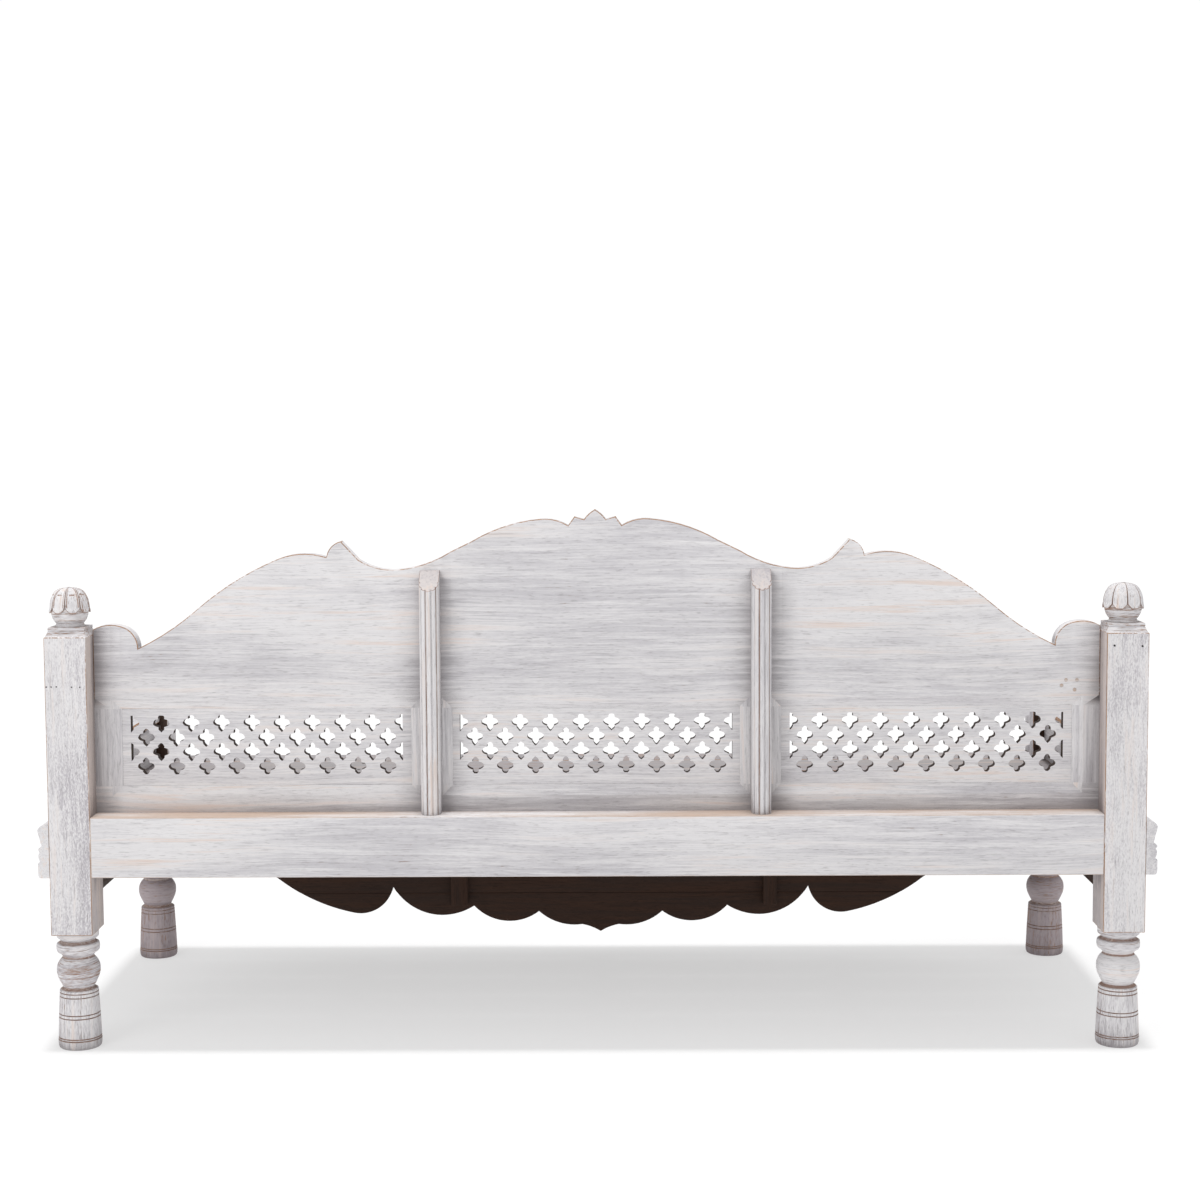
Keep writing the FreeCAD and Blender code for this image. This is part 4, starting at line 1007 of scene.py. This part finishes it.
def trim_back_post(bm):
    """Also leaves the side beside the back panel with a thin warm wash."""
    trim_post_top(bm)
    leave_bare(bm, lambda facing, middle: abs(facing.x) > 0.9 and facing.x * middle.x < 0)


# Places across and up, in millimetres, of what shows from behind.
PIN_HOLES = ((-935.2, 742.4), (-985.5, 741.2))
POST_SPECKS = ((995, 675.2), (986, 675.4), (976.5, 675.6), (949, 674.8), (934, 674.6))
CREST_PLUGS = ((-860, 674), (-880, 674), (-852, 664), (-876, 656))


def build_marks():
    """Pin holes and specks behind the back posts, and plugged holes in the crest board."""
    bm = bmesh.new()
    for places, rear, proud, radius, finish in ((PIN_HOLES, POST_REAR, 0.2, 1.8, 0),
                                                (POST_SPECKS, POST_REAR, 0.1, 1.2, 0),
                                                (CREST_PLUGS, PANEL_REAR, 0.1, 3.2, 1)):
        for x, z in places:
            nail(bm, (x * MM, rear + proud * MM, z * MM), (0, 1, 0), radius * MM, finish)
    bmesh.ops.recalc_face_normals(bm, faces=bm.faces[:])
    new_piece(bm, "small_marks", [], ["nail_iron", "bare_ledge"])


# One operator for the stage and one for each piece or group of like pieces.

class TAKHT_OT_stage(bpy.types.Operator):
    """Place the camera, the floor and the lights"""
    bl_idname = "takht.stage"
    bl_label = "Studio"

    def execute(self, context):
        stage = context.scene.takht_stage
        camera = bpy.data.objects.new("camera", bpy.data.cameras.new("camera"))
        camera.location = stage.camera_place
        camera.rotation_euler = stage.camera_turn
        camera.data.lens = stage.lens
        camera.data.sensor_width = 36
        context.scene.collection.objects.link(camera)
        context.scene.camera = camera
        self.lay_floor(stage)
        overhead = bpy.data.objects.new("overhead light", bpy.data.lights.new("overhead", "SUN"))
        overhead.data.energy = stage.top_light
        overhead.data.angle = stage.top_softness
        context.scene.collection.objects.link(overhead)
        self.hang_light("side box", SIDE_BOX_PLACE, SIDE_BOX_TARGET, SIDE_BOX_SIZE, stage.side_light)
        world = bpy.data.worlds.new("studio air")
        context.scene.world = world
        world.use_nodes = True
        wire = Wiring(world.node_tree)
        seen = wire.node("ShaderNodeLightPath").outputs["Is Camera Ray"]
        strength = wire.ramp(seen, 0, 1, stage.sky_light, AIR_SEEN)
        wire.put(world.node_tree.nodes["Background"].inputs["Strength"], strength)
        world.node_tree.nodes["Background"].inputs["Color"].default_value = (1, 1, 1, 1)
        context.scene.view_settings.view_transform = "Standard"
        return {"FINISHED"}

    def lay_floor(self, stage):
        bm = bmesh.new()
        bmesh.ops.create_grid(bm, x_segments=1, y_segments=1, size=stage.floor_size / 2)
        mesh = bpy.data.meshes.new("floor")
        bm.to_mesh(mesh)
        bm.free()
        floor = bpy.data.objects.new("floor", mesh)
        bpy.context.scene.collection.objects.link(floor)
        material = bpy.data.materials.new("pale floor")
        material.use_nodes = True
        shader = material.node_tree.nodes["Principled BSDF"]
        shader.inputs["Base Color"].default_value = rgba(stage.floor_colour)
        shader.inputs["Roughness"].default_value = 0.9
        shader.inputs["Specular IOR Level"].default_value = 0
        shader.inputs["Emission Color"].default_value = (1, 1, 1, 1)
        shader.inputs["Emission Strength"].default_value = stage.floor_glow
        mesh.materials.append(material)

    def hang_light(self, name, place, target, size, power):
        light = bpy.data.objects.new(name, bpy.data.lights.new(name, "AREA"))
        light.data.shape = "RECTANGLE"
        light.data.size, light.data.size_y = size
        light.data.energy = power
        light.location = place
        light.rotation_euler = (Vector(target) - Vector(place)).to_track_quat("-Z", "Y").to_euler()
        bpy.context.scene.collection.objects.link(light)


class TAKHT_OT_finishes(bpy.types.Operator):
    """Make the whitewash, the bare wood and the other finishes"""
    bl_idname = "takht.finishes"
    bl_label = "Finishes"

    def execute(self, context):
        grain_place_group()
        grain_group()
        shade_and_grime_group()
        whitewash_group()
        bare_wood_group()
        make_materials()
        return {"FINISHED"}


class TAKHT_OT_posts(bpy.types.Operator):
    """Dress the four posts and set the moulded collars on them"""
    bl_idname = "takht.posts"
    bl_label = "Posts"

    def execute(self, context):
        for seed, node in enumerate(POSTS, 11):
            front = "front" in node
            dressed(node, "z", seed, surface="post_wash", arris=POST_ARRIS,
                    change=trim_front_post if front else trim_back_post,
                    bare="brown_wood_z" if front else "warm_side")
        build_collars()
        build_marks()
        return {"FINISHED"}


def bare_top(bm):
    """Leaves the wash off the faces that look up."""
    leave_bare(bm, lambda facing, middle: facing.z > 0.9)


class TAKHT_OT_rails(bpy.types.Operator):
    """Dress the four rails under the seat"""
    bl_idname = "takht.rails"
    bl_label = "Rails"

    def execute(self, context):
        dressed("back_rail", "x", 21, change=bare_top, bare="bare_ledge", worn="bare_ledge")
        dressed("front_rail", "x", 22, surface="brown_wood_x")
        dress_each(("left_end_rail", "right_end_rail"), "y", 23)
        return {"FINISHED"}


class TAKHT_OT_back_panel(bpy.types.Operator):
    """Dress the crest board, the stiles and the bottom rail, with sloping frames"""
    bl_idname = "takht.back_panel"
    bl_label = "Back panel"

    def execute(self, context):
        above_fields, above_all = FIELD_HIGH + 10 * MM, 1
        dressed("crest_board", "x", 31, change=slope_frame, bare="whitewash_z",
                from_height=above_fields)
        dressed("back_bottom_rail", "x", 32, "bottom_rail_dressed", change=slope_frame,
                bare="whitewash_z", from_height=above_all)
        dress_each(("left_end_stile", "left_mid_stile", "right_mid_stile", "right_end_stile"), "z", 33,
                   change=slope_frame, from_height=above_all)
        return {"FINISHED"}


class TAKHT_OT_lattices(bpy.types.Operator):
    """Cut the three pierced boards"""
    bl_idname = "takht.lattices"
    bl_label = "Pierced boards"

    def execute(self, context):
        for seed, side in enumerate(("left", "middle", "right"), 41):
            build_lattice(f"{side}_lattice", seed)
        return {"FINISHED"}


class TAKHT_OT_battens(bpy.types.Operator):
    """Make the two reeded battens"""
    bl_idname = "takht.battens"
    bl_label = "Battens"

    def execute(self, context):
        build_batten("left_batten", 45)
        build_batten("right_batten", 46)
        return {"FINISHED"}


class TAKHT_OT_feet(bpy.types.Operator):
    """Turn the four feet"""
    bl_idname = "takht.feet"
    bl_label = "Turned feet"

    def execute(self, context):
        build_feet(BACK_Y, "back_feet", 51, "worn_turning", "lathe_turning")
        # The front feet take the copies darkened as painted shade.
        build_feet(FRONT_Y, "front_feet", 52, "shaded_turning", "shaded_lathe")
        return {"FINISHED"}


class TAKHT_OT_finials(bpy.types.Operator):
    """Carve the four lotus buds"""
    bl_idname = "takht.finials"
    bl_label = "Lotus buds"

    def execute(self, context):
        build_finials(BACK_Y, "left_back_post", "back_finials", "back_buds_carved", 53)
        build_finials(FRONT_Y, "left_front_post", "front_finials", "front_buds_carved", 54)
        return {"FINISHED"}


class TAKHT_OT_mouldings(bpy.types.Operator):
    """Carve the mouldings round the front and the ends"""
    bl_idname = "takht.mouldings"
    bl_label = "Mouldings"

    def execute(self, context):
        for seed, (node, axis, sign) in enumerate((("front_moulding", "x", -1),
                                                   ("left_end_moulding", "y", -1),
                                                   ("right_end_moulding", "y", 1)), 55):
            build_moulding(node, axis, sign, seed)
        return {"FINISHED"}


# Where the nails stand on the bearers, and their shares of a board's width.
NAIL_ROWS, NAIL_SHARES, NAIL_RADIUS = (-0.5, 0, 0.5), (0.22, 0.78), 3.4 * MM


class TAKHT_OT_deck(bpy.types.Operator):
    """Lay and nail the seat boards"""
    bl_idname = "takht.deck"
    bl_label = "Deck"

    def execute(self, context):
        boards = [f"deck_board_{number}" for number in range(1, 5)] + ["deck_front_board"]
        # The seat boards take the wash greyed as painted shade.
        dress_each(boards, "x", 71, slot="aged_deck", surface="deck_boards_painted_shade_x")
        nails = bmesh.new()
        for low, high in map(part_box, boards):
            for x in NAIL_ROWS:
                for across in NAIL_SHARES:
                    y = low.y + (high.y - low.y) * across
                    nail(nails, (x, y, high.z), (0, 0, 1), NAIL_RADIUS)
        bmesh.ops.recalc_face_normals(nails, faces=nails.faces[:])
        new_piece(nails, "deck_nails", [], ["nail_iron"])
        dress_each(("left_bearer", "centre_bearer", "right_bearer"), "y", 76, slot="brown_wood",
                   surface="brown_wood_y")
        return {"FINISHED"}


def brown_inside(bm):
    """Leaves the wash off the faces that look inwards or down."""
    leave_bare(bm, lambda facing, middle: facing.z < -0.5 or facing.y > 0.5 and middle.y < 0)


def brown_end(bm):
    """Leaves the wash off the faces that look down or to the bed's middle."""
    leave_bare(bm, lambda facing, middle: facing.z < -0.5 or facing.x * middle.x < 0)


class TAKHT_OT_aprons(bpy.types.Operator):
    """Dress the scalloped aprons and the cleats behind them"""
    bl_idname = "takht.aprons"
    bl_label = "Aprons"

    def execute(self, context):
        boards = ("front_apron_board", "apron_lower_centre", "apron_lower_left", "apron_lower_right")
        dress_each(boards, "x", 81, slot="brown_wood", change=brown_inside, worn="brown_wood_x",
                   bare="brown_wood_x")
        dress_each(("left_apron_cleat", "right_apron_cleat"), "z", 86, slot="brown_wood",
                   surface="brown_wood_z", worn="brown_wood_z")
        dress_each(("left_end_apron", "right_end_apron"), "y", 88, slot="brown_wood",
                   change=brown_end, worn="brown_wood_y", bare="brown_wood_y")
        return {"FINISHED"}


ARM_ROUNDING = 6 * MM


class TAKHT_OT_arms(bpy.types.Operator):
    """Dress the low arms at both ends"""
    bl_idname = "takht.arms"
    bl_label = "Arms"

    def execute(self, context):
        for number, side in enumerate(("left", "right")):
            dressed(f"{side}_arm_panel", "y", 91 + number)
            dressed(f"{side}_arm_rail", "y", 96 + number, arris=ARM_ROUNDING)
        return {"FINISHED"}


class TAKHT_OT_keys(bpy.types.Operator):
    """Finish the loose tenons that stay hidden in their joints"""
    bl_idname = "takht.keys"
    bl_label = "Loose tenons"

    def execute(self, context):
        for node in ("panel_keys", "apron_keys"):
            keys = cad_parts[node]
            for place in keys.material_slots:
                place.material = bpy.data.materials["brown_wood_z"]
        return {"FINISHED"}


PIECE_OPERATORS = (
    TAKHT_OT_stage, TAKHT_OT_finishes, TAKHT_OT_posts, TAKHT_OT_rails, TAKHT_OT_back_panel,
    TAKHT_OT_lattices, TAKHT_OT_battens, TAKHT_OT_feet, TAKHT_OT_finials, TAKHT_OT_mouldings,
    TAKHT_OT_deck, TAKHT_OT_aprons, TAKHT_OT_arms, TAKHT_OT_keys)


class TAKHT_PT_panel(bpy.types.Panel):
    """Lists the sizes, the colours and the pieces"""
    bl_idname = "TAKHT_PT_panel"
    bl_label = "Takht day bed"
    bl_space_type = "VIEW_3D"
    bl_region_type = "UI"
    bl_category = "Takht"

    def draw(self, context):
        for group in (context.scene.takht_stage, context.scene.takht_finish,
                      context.scene.takht_carving):
            box = self.layout.box()
            for name in group.bl_rna.properties.keys():
                if name not in ("rna_type", "name"):
                    box.prop(group, name)
        for operator in PIECE_OPERATORS:
            self.layout.operator(operator.bl_idname)


CLASSES = (TakhtStage, TakhtFinish, TakhtCarving, *PIECE_OPERATORS, TAKHT_PT_panel)


def register():
    """Adds the classes and the scene's settings."""
    for part in CLASSES:
        bpy.utils.register_class(part)
    bpy.types.Scene.takht_stage = PointerProperty(type=TakhtStage)
    bpy.types.Scene.takht_finish = PointerProperty(type=TakhtFinish)
    bpy.types.Scene.takht_carving = PointerProperty(type=TakhtCarving)


def unregister():
    """Takes the settings and the classes away again."""
    del bpy.types.Scene.takht_carving
    del bpy.types.Scene.takht_finish
    del bpy.types.Scene.takht_stage
    for part in reversed(CLASSES):
        bpy.utils.unregister_class(part)


def main():
    """Runs every step in order."""
    register()
    for operator in PIECE_OPERATORS:
        group, name = operator.bl_idname.split(".")
        getattr(getattr(bpy.ops, group), name)()


if __name__ == "__main__":
    main()
